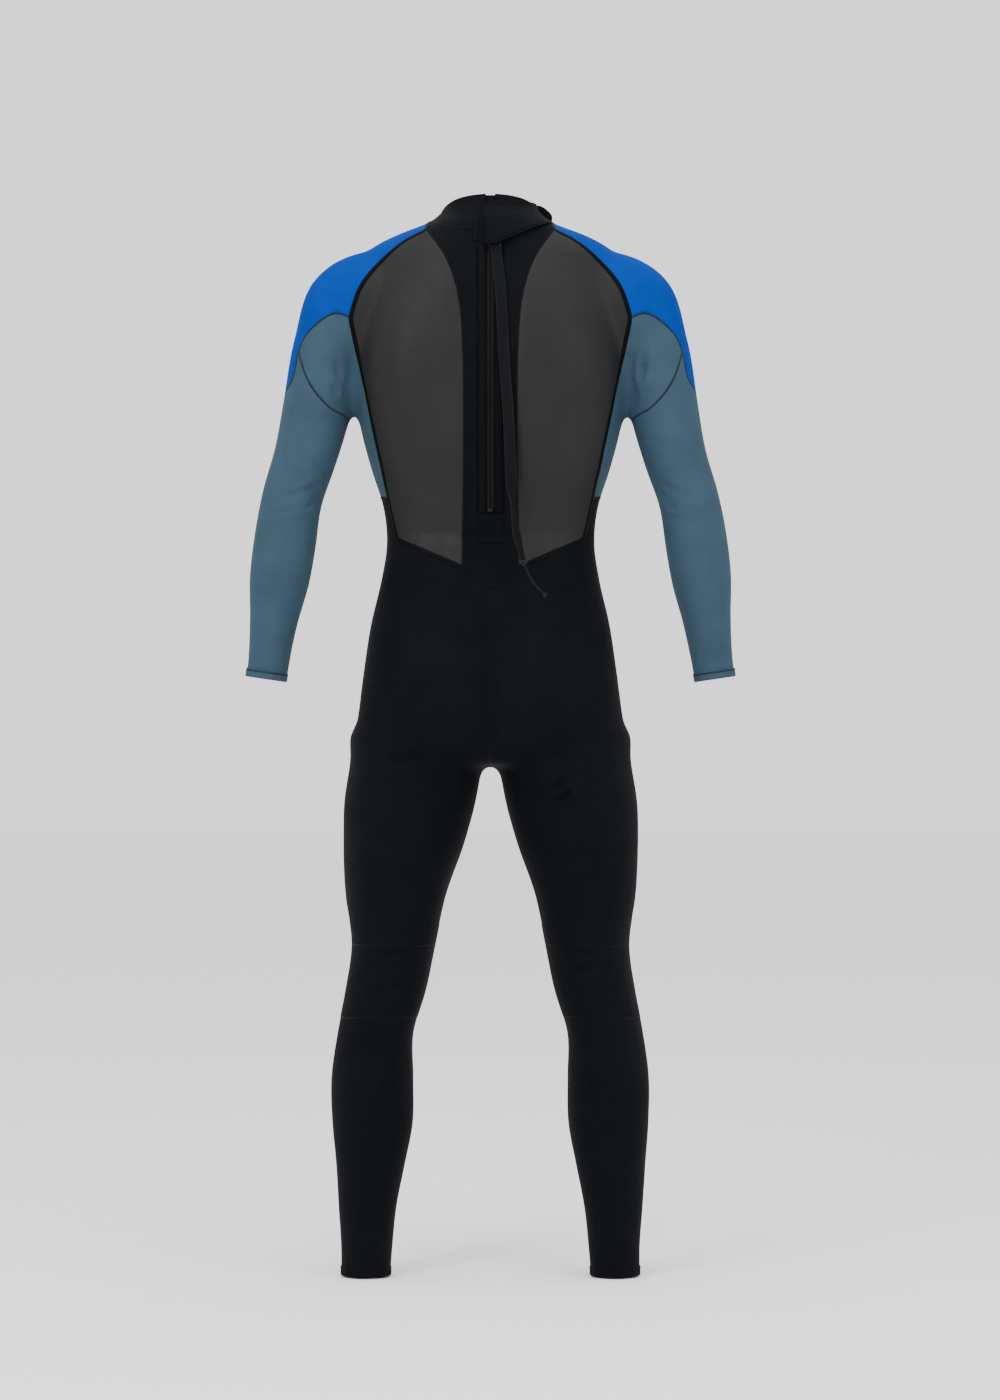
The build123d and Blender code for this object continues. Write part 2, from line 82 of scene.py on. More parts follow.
# Seam lines: distance from the middle of the suit, and height.
YOKE_EDGE = [(78, 1500), (86, 1424), (117, 1408), (151, 1378), (176, 1345), (190, 1304)]
FLANK_EDGE = [(190, 1304), (139, 1060), (127, 1004)]
WAIST_EDGE = [(127, 1004), (37, 965), (0, 937)]
YOKE_HEM = [(190, 1304), (213, 1310), (247, 1286), (261, 1259), (271, 1218), (300, 1190)]
GUSSET = [(261, 1259), (247, 1218), (220, 1184), (199, 1173), (188, 1160)]
FLANK_HEM = [(188, 1072), (139, 1060)]
SPINE_EDGE = [(86, 1424), (55, 1375), (38, 1300), (35, 1155), (37, 965)]
# The neck opening's slope: y and height.
COLLAR_RIM = [(-90, 1430), (90, 1479)]
COLLAR_BACK = [(84, 1440), (62, 1428), (30, 1424), (0, 1423)]
COLLAR_FRONT = [(84, 1440), (78, 1420), (60, 1402), (30, 1391), (0, 1388)]
# Above every height, in lines that run out of the suit.
OUT_OF_TOP = 1600
RIDGE_Y = 8.0
SLOT_HALF, SLOT_LOW = 16.5, 1038.0
COLLAR_SLOT_HALF = 6.5
ZIP_LOW, ZIP_TOP = 1044, 1422.0
SLIDER_LOW, SLIDER_TOP = 1406, 1420
ELBOW_LEAN, WRIST_LEAN = math.radians(13), math.radians(8.5)
ELBOW, WRIST = np.array([271.5, 10, 1056.0]), np.array([306.5, -18, 826.0])
WRIST_DOWN = np.array([math.sin(WRIST_LEAN), 0, -math.cos(WRIST_LEAN)])
FLOOR_Z = -1.459
WEBBING_ROUTE = [
    (-6, 95.5, 1401), (-13, 105, 1354), (-16, 113, 1300), (-19, 117, 1236), (-24, 118.5, 1176),
    (-27, 118.8, 1112), (-29, 118.2, 1056), (-34, 118.6, 1010), (-44, 118, 974),
]
CORD_ROUTE = [(-46, 118, 967), (-51, 118, 954), (-60, 117.6, 940), (-71, 117.4, 929)]


def curved(points, steps=6):
    """A smooth chain through the points; point k of the list is point k * steps of the chain."""
    p = np.array(points, float)
    slope = np.gradient(p, axis=0)
    t = (np.arange(steps) / steps)[:, None]
    chain = [
        p[i] * (1 + 2 * t) * (1 - t) ** 2 + slope[i] * t * (1 - t) ** 2
        + p[i + 1] * t * t * (3 - 2 * t) + slope[i + 1] * t * t * (t - 1)
        for i in range(len(p) - 1)
    ]
    return [tuple(q) for q in np.vstack(chain + [p[-1:]]).tolist()]


YOKE_EDGE = YOKE_EDGE[:1] + curved(YOKE_EDGE[1:], 4)
YOKE_HEM, GUSSET, SPINE_EDGE = curved(YOKE_HEM), curved(GUSSET), curved(SPINE_EDGE, 8)
# The point of YOKE_HEM where the gusset's seam starts.
HEM_TURN = 18


def metres(points):
    points = np.asarray(points, float).reshape(-1, 3)
    return (points - [0, 0, NECK]) / 1000


def unit(vectors):
    return vectors / np.maximum(np.linalg.norm(vectors, axis=-1, keepdims=True), 1e-9)


def step(values, low, high):
    t = np.clip((values - low) / (high - low), 0, 1)
    return t * t * (3 - 2 * t)


# Camera: behind the suit, level, at the height of the middle of the picture.
camera_data = bpy.data.cameras.new("camera")
camera_data.sensor_width = 36
camera_data.lens = 112.6
camera_data.clip_end = 60
camera = bpy.data.objects.new("camera", camera_data)
bpy.context.collection.objects.link(camera)
camera.location = (-0.013, 6.0, -0.671)
camera.rotation_euler = (math.radians(90), 0, math.radians(180))
bpy.context.scene.camera = camera


# Materials. Patterns follow the cloth through the "rest" attribute.
class Nodes:
    def __init__(self, name, color, rough, bump, spec, bump_depth=0.0006):
        self.material = bpy.data.materials.new(name)
        self.material.use_nodes = True
        self.tree = self.material.node_tree
        self.shader = self.tree.nodes["Principled BSDF"]
        self.shader.inputs["Base Color"].default_value = (*color, 1)
        self.shader.inputs["Roughness"].default_value = rough
        self.shader.inputs["Specular IOR Level"].default_value = spec
        self.bump = self.add("ShaderNodeBump")
        self.bump.inputs["Strength"].default_value = bump
        self.bump.inputs["Distance"].default_value = bump_depth
        self.link(self.bump, "Normal", self.shader, "Normal")

    def add(self, kind, **values):
        node = self.tree.nodes.new(kind)
        for key, value in values.items():
            setattr(node, key, value)
        return node

    def link(self, a, out, b, into):
        self.tree.links.new(a.outputs[out], b.inputs[into])

    def rest(self):
        return self.add("ShaderNodeAttribute", attribute_name="rest")

    def maths(self, operation, *values):
        """A math node; each value is a number or an (earlier node, its output) pair."""
        node = self.add("ShaderNodeMath", operation=operation)
        for i, value in enumerate(values):
            if isinstance(value, tuple):
                self.link(*value, node, i)
            else:
                node.inputs[i].default_value = value
        return node

    def noise(self, source, scale, detail, stretch=(1, 1, 1)):
        mapping = self.add("ShaderNodeMapping")
        mapping.inputs["Scale"].default_value = stretch
        self.link(source, "Vector", mapping, "Vector")
        node = self.add("ShaderNodeTexNoise")
        node.inputs["Scale"].default_value = scale
        node.inputs["Detail"].default_value = detail
        self.link(mapping, "Vector", node, "Vector")
        return node

    def waves(self, source, direction, scale, distortion, detail_scale):
        node = self.add("ShaderNodeTexWave", wave_type="BANDS", bands_direction=direction)
        node.inputs["Scale"].default_value = scale
        node.inputs["Distortion"].default_value = distortion
        node.inputs["Detail Scale"].default_value = detail_scale
        self.link(source, "Vector", node, "Vector")
        return node

    def ranged(self, noise, low, high):
        """The middle of a noise's range, spread from low to high."""
        span = self.add("ShaderNodeMapRange")
        for name, value in (("From Min", 0.3), ("From Max", 0.7), ("To Min", low), ("To Max", high)):
            span.inputs[name].default_value = value
        self.link(noise, "Fac", span, "Value")
        return span

    def tint(self, source, scale, color, deep):
        """Mottles the colour, from deep to 2 - deep times itself."""
        mottle = self.ranged(self.noise(source, scale, 5), 0, 1)
        self.mixed(mottle, "Result", [c * deep for c in color], [c * (2 - deep) for c in color])

    def mixed(self, value, out, low, high):
        mix = self.add("ShaderNodeMix", data_type="RGBA")
        mix.inputs[6].default_value = (*low, 1)
        mix.inputs[7].default_value = (*high, 1)
        self.link(value, out, mix, 0)
        self.link(mix, 2, self.shader, "Base Color")


def knit(name, color, sheen, sheen_tint, rough=0.78, bump=0.35, deep=0.86, spec=0.06):
    """Jersey: courses and wales of loops, loose fibres, mottled colour and uneven wear."""
    n = Nodes(name, color, rough, bump, spec)
    n.shader.inputs["Sheen Weight"].default_value = sheen
    n.shader.inputs["Sheen Roughness"].default_value = 0.45
    n.shader.inputs["Sheen Tint"].default_value = (*sheen_tint, 1)
    rest = n.rest()
    n.tint(rest, 26, color, deep)
    courses = n.waves(rest, "Z", 230, 1.5, 2)
    wales = n.waves(rest, "X", 260, 1.0, 1)
    loops = n.maths("ADD", (courses, "Fac"), (wales, "Fac"))
    relief = n.maths("ADD", (loops, "Value"), (n.noise(rest, 1900, 2), "Fac"))
    n.link(relief, "Value", n.bump, "Height")
    wear = n.ranged(n.noise(rest, 9, 4), rough - 0.07, rough + 0.07)
    n.link(wear, "Result", n.shader, "Roughness")
    return n.material


def skin(name, color, rough, bump, scale, spec):
    """Smooth rubber, plastic or metal: fine grain, mottled colour and scuffs."""
    n = Nodes(name, color, rough, bump, spec)
    rest = n.rest()
    n.tint(rest, 14, color, 0.9)
    n.link(n.noise(rest, scale, 4), "Fac", n.bump, "Height")
    scuff = n.ranged(n.noise(rest, 40, 8, (1, 1, 0.25)), rough - 0.08, rough + 0.1)
    n.link(scuff, "Result", n.shader, "Roughness")
    return n.material


def embossed(name, color):
    """Rubber with a pressed pattern of small cells."""
    n = Nodes(name, color, 0.5, 0.8, 0.06, bump_depth=0.0012)
    rest = n.rest()
    cells = n.add("ShaderNodeTexVoronoi", feature="DISTANCE_TO_EDGE")
    cells.inputs["Scale"].default_value = 150
    cells.inputs["Randomness"].default_value = 0.12
    n.link(rest, "Vector", cells, "Vector")
    n.link(cells, "Distance", n.bump, "Height")
    n.tint(rest, 30, color, 0.8)
    return n.material


def threads(name, color, gap, rough=0.7, deep=0.5, spec=0.06):
    """Rows of slanting threads, with painted shade in the grooves between them: the UV map runs in metres, u along the
    seam and v across it.
    """
    n = Nodes(name, color, rough, 1.0, spec)
    uv = n.add("ShaderNodeUVMap", uv_map="UVMap")
    split = n.add("ShaderNodeSeparateXYZ")
    n.link(uv, "UV", split, "Vector")
    turns = n.maths("MULTIPLY", (split, "X"), 2 * math.pi / gap)
    slant = n.maths("MULTIPLY_ADD", (split, "Y"), 2600, (turns, "Value"))
    wave = n.maths("SINE", (slant, "Value"))
    half = n.maths("MULTIPLY_ADD", (wave, "Value"), 0.5, 0.5)
    n.link(half, "Value", n.bump, "Height")
    # Painted shade: the colour drops to deep times itself in the grooves between the threads, where the bump is lowest.
    n.mixed(half, "Value", [c * deep for c in color], color)
    n.shader.inputs["Sheen Weight"].default_value = 0.01
    return n.material


BLACK = knit("black_neoprene", (0.0022, 0.0028, 0.0041), 0.006, (0.4, 0.44, 0.5), spec=0.05)
BLUE = knit("blue_neoprene", (0.0002, 0.034, 0.23), 0.003, (0.2, 0.5, 1.0), deep=0.93, spec=0.03)
SLATE = knit("slate_neoprene", (0.027, 0.054, 0.078), 0.015, (0.5, 0.66, 0.8), deep=0.92, spec=0.08)
SKIN = skin("smooth_skin", (0.0112, 0.0112, 0.0116), 0.5, 0.3, 900, spec=0.12)
KNEE = embossed("knee_rubber", (0.0024, 0.0028, 0.0035))
TAPE = skin("seam_tape", (0.0018, 0.002, 0.0025), 0.55, 0.3, 1200, spec=0.04)
LINING = knit("lining", (0.006, 0.0064, 0.0072), 0.01, (0.5, 0.5, 0.55), spec=0.05)
BINDING = knit("binding", (0.0026, 0.003, 0.0038), 0.008, (0.4, 0.44, 0.5), bump=0.6, spec=0.06)
ZIP_TAPE = threads("zip_tape", (0.003, 0.003, 0.0036), 0.0012, deep=0.6)
PLASTIC = skin("zip_plastic", (0.003, 0.003, 0.0036), 0.32, 0.1, 1500, spec=0.16)
METAL = skin("slider_metal", (0.005, 0.005, 0.0056), 0.3, 0.15, 1800, spec=0.4)
WEBBING = threads("webbing", (0.0038, 0.0041, 0.0049), 0.0021, rough=0.62, deep=0.5, spec=0.07)
SELVEDGE = threads("selvedge", (0.0105, 0.011, 0.0125), 0.0021, rough=0.62, deep=0.45, spec=0.07)
CORD = threads("cord", (0.012, 0.012, 0.014), 0.0018, rough=0.6, deep=0.5, spec=0.12)
HOOK = skin("hook_plastic", (0.004, 0.004, 0.0046), 0.6, 1.0, 1500, spec=0.1)
LOOP = knit("loop_fabric", (0.004, 0.004, 0.0048), 0.02, (0.5, 0.5, 0.5), bump=1.0)
BLACK_STITCH = threads("black_stitch", (0.0034, 0.0038, 0.0046), 0.0028, deep=0.4)
GREY_STITCH = threads("grey_stitch", (0.017, 0.026, 0.034), 0.0028, deep=0.4)


def make(name, verts, faces, materials, uv=None, index=None, smooth=True):
    mesh = bpy.data.meshes.new(name)
    points = metres(verts)
    mesh.from_pydata(points.tolist(), [], [tuple(int(i) for i in f) for f in faces])
    for m in materials if isinstance(materials, list) else [materials]:
        mesh.materials.append(m)
    mesh.polygons.foreach_set("use_smooth", np.full(len(mesh.polygons), smooth))
    if index is not None:
        mesh.polygons.foreach_set("material_index", np.asarray(index, np.int32))
    rest = mesh.attributes.new("rest", "FLOAT_VECTOR", "POINT")
    rest.data.foreach_set("vector", points.astype(np.float32).ravel())
    layer = mesh.uv_layers.new(name="UVMap")
    loops = np.empty(len(mesh.loops), np.int32)
    mesh.loops.foreach_get("vertex_index", loops)
    flat = points[:, [0, 2]] if uv is None else np.asarray(uv, float)
    layer.data.foreach_set("uv", flat[loops].astype(np.float32).ravel())
    mesh.update()
    obj = bpy.data.objects.new(name, mesh)
    bpy.context.collection.objects.link(obj)
    return obj


def placed(obj, body, slot, *nodes):
    """Rides a piece on its body and hides the CAD nodes it replaces; its slot is not used."""
    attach(obj, body)
    if nodes:
        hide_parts(*nodes)
    return obj


def tube(rows, m, turned=False, ring=False):
    """Faces over rows of m points, closed round each row. A ring joins its ends, others are capped."""
    faces = []
    for i in range(rows if ring else rows - 1):
        k = (i + 1) % rows
        for j in range(m):
            n = (j + 1) % m
            faces.append((i * m + j, i * m + n, k * m + n, k * m + j))
    if not ring:
        faces += [tuple(range(m))[::-1], tuple((rows - 1) * m + j for j in range(m))]
    return [f[::-1] for f in faces] if turned else faces


def band_uv(along, across):
    """UV in metres for rows of points along a band, at these places across it."""
    rows = [np.column_stack([along, along * 0 + w]) for w in across]
    return np.stack(rows, axis=1).reshape(-1, 2) / 1000


def closed(points):
    return np.vstack([points, points[:1]])



def spine_back(h):
    return APEX_Y - ARC + np.sqrt(ARC ** 2 - (h - APEX_H) ** 2)


def through(table, at):
    """A smooth curve through the table's rows; the first column rises."""
    t, v = table[:, 0], table[:, 1:]
    slope = np.gradient(v, t, axis=0)
    i = np.clip(np.searchsorted(t, at) - 1, 0, len(t) - 2)
    gap = (t[i + 1] - t[i])[:, None]
    s = ((at - t[i]) / gap[:, 0])[:, None]
    return (
        v[i] * (1 + 2 * s) * (1 - s) ** 2 + slope[i] * gap * s * (1 - s) ** 2
        + v[i + 1] * s * s * (3 - 2 * s) + slope[i + 1] * gap * s * s * (s - 1)
    )


TRUNK = [(1540, 65, 57, 64, 2.0)] + NAPE
TRUNK += [(h, side, float(spine_back(h)), front, power) for h, side, front, power in SHOULDERS]
TRUNK += HIPS + [(698, 168, 84, 70, 2.3)]
TRUNK = np.array(TRUNK[::-1], float)


def trunk_section(h):
    """Half width, back, front and squareness at the heights h."""
    h = np.atleast_1d(np.asarray(h, float))
    rows = through(TRUNK, h)
    exact = step(h, 1000, 1012) * (1 - step(h, 1430, 1446))
    rows[:, 1] = rows[:, 1] * (1 - exact) + spine_back(np.clip(h, 900, 1460)) * exact
    return rows


def back_of(x, h):
    """The back's y at x and height h."""
    side, back, _, power = trunk_section(h).T
    share = np.clip(1 - np.abs(np.asarray(x, float) / side) ** power, 0, 1)
    return back * share ** (1 / power)


def oval(count, power):
    t = np.linspace(0, 2 * math.pi, count, endpoint=False)
    c, s = np.cos(t), np.sin(t)
    p = 2 / power
    return np.sign(c) * np.abs(c) ** p, np.sign(s) * np.abs(s) ** p


def lofted(rings):
    return np.vstack(rings), tube(len(rings), len(rings[0]))


def trunk_rings():
    rings = []
    for h in np.arange(698, 1541, 6.0):
        side, back, front, power = trunk_section(h)[0]
        x, y = oval(96, power)
        rings.append(np.column_stack([x * side, np.where(y > 0, y * back, y * front), x * 0 + h]))
    return rings


LEG_TABLE = np.array(LEG[::-1], float)


def leg_rings():
    rings = []
    for h in np.arange(-30, 760.1, 5.0):
        cx, half, cy, deep = through(LEG_TABLE, np.array([h]))[0]
        x, y = oval(72, 2.08)
        rings.append(np.column_stack([cx + x * half, cy + y * deep, x * 0 + h]))
    return rings


ARM_TABLE = np.array(ARM, float)
ARM_ALONG = np.concatenate([[0], np.cumsum(np.linalg.norm(np.diff(ARM_TABLE[:, :3], axis=0), axis=1))])


def arm_rings():
    table = np.column_stack([ARM_ALONG, ARM_TABLE])
    rings = []
    for s in np.linspace(0, ARM_ALONG[-1], 130):
        cx, cy, h, lean, half, deep = through(table, np.array([s]))[0]
        lean = math.radians(lean)
        x, y = oval(64, 2.08)
        rings.append(np.column_stack([
            cx + x * half * math.cos(lean), cy + y * deep, h + x * half * math.sin(lean),
        ]))
    return rings


def mirrored(verts, faces):
    return verts * [-1, 1, 1], [tuple(f)[::-1] for f in faces]


def whole_skin():
    """The suit's outer skin as one closed triangle mesh."""
    pieces = [lofted(trunk_rings())]
    for limb in (lofted(leg_rings()), lofted(arm_rings())):
        pieces += [limb, mirrored(*limb)]
    verts, faces = [], []
    for v, f in pieces:
        start = sum(len(a) for a in verts)
        verts.append(v)
        faces += [tuple(start + i for i in face) for face in f]
    source = make("source", np.vstack(verts), faces, BLACK)
    remesh = source.modifiers.new("voxels", "REMESH")
    remesh.mode = "VOXEL"
    remesh.voxel_size = VOXEL
    got = bpy.data.meshes.new_from_object(source.evaluated_get(bpy.context.evaluated_depsgraph_get()))
    v = np.empty(len(got.vertices) * 3)
    got.vertices.foreach_get("co", v)
    v = v.reshape(-1, 3) * 1000 + [0, 0, NECK]
    got.calc_loop_triangles()
    t = np.empty(len(got.loop_triangles) * 3, np.int32)
    got.loop_triangles.foreach_get("vertices", t)
    data = source.data
    bpy.data.objects.remove(source)
    bpy.data.meshes.remove(data)
    bpy.data.meshes.remove(got)
    return v, t.reshape(-1, 3)


def sides_of(t):
    return np.concatenate([t[:, [0, 1]], t[:, [1, 2]], t[:, [2, 0]]])


def edges_of(t):
    return np.unique(np.sort(sides_of(t), axis=1), axis=0)


def relaxed(v, e, weight, times, back):
    """Laplacian smoothing, each pass followed by a step back that keeps the volume."""
    count = np.bincount(e.ravel(), minlength=len(v))[:, None]
    for _ in range(times):
        for pull in (0.5, back):
            if not pull:
                continue
            mean = np.column_stack([
                np.bincount(e[:, 0], v[e[:, 1], k], len(v)) + np.bincount(e[:, 1], v[e[:, 0], k], len(v))
                for k in range(3)
            ]) / count
            v = v + pull * weight[:, None] * (mean - v)
    return v


def normals_of(v, t):
    face = np.cross(v[t[:, 1]] - v[t[:, 0]], v[t[:, 2]] - v[t[:, 0]])
    total = np.column_stack([
        sum(np.bincount(t[:, i], face[:, k], len(v)) for i in range(3)) for k in range(3)
    ])
    return unit(total)


def bump_at(v, centre, size):
    d = (v - centre) / size
    return np.exp(-(d ** 2).sum(axis=1))


def fold(v, a, b, wide, deep):
    """A crease between two points, with a soft ridge on each side."""
    a, b = np.array(a, float), np.array(b, float)
    d = b - a
    t = np.clip(((v - a) @ d) / (d @ d), -0.2, 1.2)
    off = np.linalg.norm(v - (a + t[:, None] * d), axis=1) / wide
    ends = step(t, -0.2, 0.3) * (1 - step(t, 0.7, 1.2))
    return deep * ends * (1.4 * np.exp(-((off - 1.5) ** 2) * 1.6) - 1.6 * np.exp(-(off ** 2) * 1.8))


def shaped(v):
    """How far the skin stands out from the plain form: muscles and creases, in millimetres."""
    m = v * [1, 1, 1]
    m[:, 0] = np.abs(v[:, 0])
    side = np.sign(v[:, 0])
    out = np.zeros(len(v))
    for centre, size, high in (
        ((92, 95, 1292), (42, 50, 62), 6.5),
        ((62, 100, 1345), (26, 40, 34), 3.0),
        ((128, 80, 1235), (30, 60, 52), 4.0),
        ((46, 100, 1105), (20, 40, 95), 3.5),
        ((98, 100, 800), (34, 60, 50), 5.5),
        ((92, 60, 745), (50, 60, 40), 0.8),
        ((112, 80, 620), (32, 50, 90), 3.0),
        ((205, 30, 1330), (34, 60, 40), 3.0),
        ((238, 50, 1190), (24, 30, 60), 3.0),
        ((286, 30, 985), (26, 36, 50), 2.2),
        ((146, 78, 285), (22, 30, 52), 3.5),
        ((176, 78, 275), (20, 30, 46), 3.0),
        ((66, -105, 1275), (48, 50, 44), 7.0),
        ((42, -112, 1120), (26, 40, 80), 3.0),
        ((125, -75, 600), (36, 50, 100), 3.0),
        ((137, -72, 425), (30, 30, 34), 3.5),
    ):
        out += high * bump_at(m, np.array(centre, float), np.array(size, float))
    back = v[:, 1] > 0
    groove = np.exp(-((m[:, 0] - 30) / 9) ** 2) * step(v[:, 2], 1000, 1080) * (1 - step(v[:, 2], 1330, 1400))
    out -= 1.6 * groove * back
    cleft = np.exp(-(v[:, 0] / 11) ** 2) * step(v[:, 2], 700, 740) * (1 - step(v[:, 2], 850, 930))
    out -= 7.0 * cleft * back
    under = np.exp(-((v[:, 2] - 716 + 0.18 * (m[:, 0] - 90)) / 9) ** 2) * step(m[:, 0], 30, 70)
    out -= 1.4 * under * (1 - step(m[:, 0], 130, 165)) * back
    folds = [
        # Armpits, back and front.
        ((192, 66, 1196), (160, 92, 1262), 6, 2.0), ((190, 60, 1184), (150, 96, 1222), 5, 1.6),
        ((198, 62, 1200), (214, 60, 1262), 6, 2.0), ((204, 60, 1196), (236, 52, 1236), 5, 1.5),
        ((192, -50, 1200), (156, -96, 1258), 6, 2.2), ((198, -46, 1204), (216, -44, 1266), 6, 1.8),
        # Elbows.
        ((236, 46, 1078), (276, 56, 1062), 5, 1.3), ((238, 42, 1052), (286, 52, 1040), 5, 1.4),
        ((240, -30, 1066), (290, -34, 1056), 5, 1.8), ((246, -30, 1046), (296, -34, 1034), 5, 1.6),
        ((246, 40, 1102), (276, 50, 1112), 5, 0.9),
        # Wrists.
        ((284, 10, 862), (322, 12, 856), 4, 0.9), ((282, 6, 880), (312, 20, 874), 5, 0.7),
        # Backs of the knees, and above the ankles.
        ((96, 54, 446), (160, 56, 438), 7, 1.6), ((104, 56, 420), (176, 54, 428), 6, 1.5),
        ((110, 54, 398), (170, 56, 392), 6, 1.1), ((142, 48, 80), (190, 48, 86), 5, 0.7),
        ((140, 46, 60), (186, 46, 56), 4, 0.7), ((92, 60, 476), (128, 66, 486), 7, 0.9),
        # Waist and seat.
        ((96, 88, 1000), (138, 60, 1020), 7, 1.4), ((88, 92, 978), (142, 58, 986), 7, 1.2),
        ((72, 108, 714), (140, 96, 700), 8, 1.2), ((52, 96, 690), (120, 96, 668), 7, 1.0),
        ((98, -96, 985), (140, -60, 1005), 7, 1.4), ((30, -88, 742), (110, -76, 786), 8, 1.6),
        ((22, -88, 722), (120, -84, 742), 8, 1.4), ((60, 106, 950), (130, 80, 958), 8, 0.7),
    ]
    for i, (a, b, wide, deep) in enumerate(folds):
        lean = 1 + 0.35 * side * math.sin(2.1 * i + 0.7)
        out += fold(m, a, b, wide, deep) * lean
    # Under the right buttock.
    for a, b in (
        ((42, 96, 650), (80, 102, 682)), ((60, 98, 644), (102, 98, 678)), ((84, 96, 648), (122, 90, 674)),
    ):
        out += fold(m, a, b, 5, 2.6) * (side < 0)
    # Slow unevenness, so that no region is a perfect form.
    x, y, h = (v / [61, 53, 83]).T
    out += 0.55 * np.sin(1.7 * x + 0.6 * np.sin(1.3 * h + y)) * np.sin(1.1 * h + 0.9 * np.sin(x * 1.9 - y))
    x, y, h = (v / [23, 21, 37]).T
    sleeves = step(m[:, 0], 196, 215)
    out += (0.12 + 0.25 * sleeves) * np.sin(h + 1.4 * np.sin(0.7 * x + y)) * np.sin(0.8 * x - 0.5 * y)
    # The leash hangs clear of the seat when the slider is down.
    clear = back * (1 - step(m[:, 0], 48, 72)) * step(v[:, 2], 640, 700) * (1 - step(v[:, 2], 900, 990))
    out -= clear * np.maximum(out + 0.8, 0)
    # The zip's line stays on its arc.
    still = (1 - step(m[:, 0], 22, 46)) * back * step(v[:, 2], 985, 1000)
    # Hems and collar rim stay where their bands are.
    still = np.maximum(still, step(v[:, 2], 1425, 1450))
    still = np.maximum(still, 1 - step(v[:, 2], 16, 50))
    still = np.maximum(still, (m[:, 0] > 250) * (1 - step(v[:, 2], 830, 868)))
    return out * (1 - still)


def side_of(p, line):
    """Signed distance of the points (across, height) from a chain of segments, its ends run on."""
    line = np.array(line, float)
    line[0] = line[0] + unit(line[0] - line[1]) * 60
    line[-1] = line[-1] + unit(line[-1] - line[-2]) * 60
    best = np.full(len(p), 1e9)
    value = np.zeros(len(p))
    firm = np.zeros(len(p))
    for a, b in zip(line[:-1], line[1:]):
        d = unit(b - a)
        long = np.linalg.norm(b - a)
        t = np.clip((p - a) @ d, 0, long)
        r = p - (a + t[:, None] * d)
        dist = np.linalg.norm(r, axis=1)
        cross = d[0] * r[:, 1] - d[1] * r[:, 0]
        take = (dist < best - 1e-6) | ((dist < best + 1e-6) & (np.abs(cross) > firm))
        best = np.where(take, dist, best)
        firm = np.where(take, np.abs(cross), firm)
        value = np.where(take, np.sign(cross) * dist, value)
    return value


def distance_to(p, line):
    line = np.array(line, float)
    best = np.full(len(p), 1e9)
    for a, b in zip(line[:-1], line[1:]):
        d = b - a
        t = np.clip(((p - a) @ d) / (d @ d), 0, 1)
        best = np.minimum(best, np.linalg.norm(p - (a + t[:, None] * d), axis=1))
    return best


def cut(v, t, value, near):
    """Splits the triangles where value is nought, between vertices that are near."""
    g = np.where(np.abs(value) < 0.35, 0.0, value)
    pairs = np.stack([t[:, [0, 1]], t[:, [1, 2]], t[:, [2, 0]]], axis=1).reshape(-1, 2)
    pairs = np.sort(pairs, axis=1).astype(np.int64)
    keys, back = np.unique(pairs[:, 0] * len(v) + pairs[:, 1], return_inverse=True)
    a, b = keys // len(v), keys % len(v)
    crossing = (g[a] * g[b] < 0) & near[a] & near[b]
    share = (g[a] / np.where(crossing, g[a] - g[b], 1))[crossing][:, None]
    fresh = v[a[crossing]] * (1 - share) + v[b[crossing]] * share
    index = np.full(len(keys), -1)
    index[crossing] = len(v) + np.arange(crossing.sum())
    mid = index[back.reshape(-1)].reshape(-1, 3)
    count = (mid >= 0).sum(axis=1)
    out = [t[count == 0]]
    for k in range(3):
        r = [k, (k + 1) % 3, (k + 2) % 3]
        one = (count == 1) & (mid[:, k] >= 0)
        p, m = t[one][:, r], mid[one][:, r]
        out += [np.column_stack([p[:, 0], m[:, 0], p[:, 2]]), np.column_stack([m[:, 0], p[:, 1], p[:, 2]])]
        two = (count == 2) & (mid[:, k] < 0)
        p, m = t[two][:, r], mid[two][:, r]
        out += [
            np.column_stack([p[:, 0], p[:, 1], m[:, 1]]), np.column_stack([p[:, 0], m[:, 1], m[:, 2]]),
            np.column_stack([m[:, 1], p[:, 2], m[:, 2]]),
        ]
    three = count == 3
    p, m = t[three], mid[three]
    out += [
        np.column_stack([p[:, 0], m[:, 0], m[:, 2]]), np.column_stack([m[:, 0], p[:, 1], m[:, 1]]),
        np.column_stack([m[:, 2], m[:, 1], p[:, 2]]), m,
    ]
    return np.vstack([v, fresh]), np.vstack(out).astype(np.int64)


def inside(p, polygon):
    polygon = np.array(polygon, float)
    hit = np.zeros(len(p), bool)
    for (x0, y0), (x1, y1) in zip(polygon, np.roll(polygon, -1, axis=0)):
        if y0 == y1:
            continue
        cross = (p[:, 1] < y0) != (p[:, 1] < y1)
        hit ^= cross & (p[:, 0] < x0 + (p[:, 1] - y0) * (x1 - x0) / (y1 - y0))
    return hit


# The skin: plain form, smoothed at the joins, then muscles and creases.
skin_v, skin_t = whole_skin()
skin_e = edges_of(skin_t)
every = np.ones(len(skin_v))
skin_v = relaxed(skin_v, skin_e, every, 6, -0.53)
ax, ah, ay = np.abs(skin_v[:, 0]), skin_v[:, 2], skin_v[:, 1]
joins = np.exp(-(((ax - 190) / 34) ** 2 + ((ah - 1200) / 55) ** 2))
joins = np.maximum(joins, np.exp(-(((ax - 176) / 30) ** 2 + ((ah - 1365) / 34) ** 2)))
joins = np.maximum(joins, np.exp(-(((ax - 190) / 26) ** 2 + ((ah - 1290) / 60) ** 2)))
joins = np.maximum(joins, np.exp(-((ax / 70) ** 2 + ((ah - 706) / 34) ** 2)) * 0.9)
joins = np.maximum(joins, np.exp(-(((ah - 715) / 22) ** 2)) * 0.8 * (ah < 800))
skin_v = relaxed(skin_v, skin_e, joins, 34, 0)
skin_n = normals_of(skin_v, skin_t)
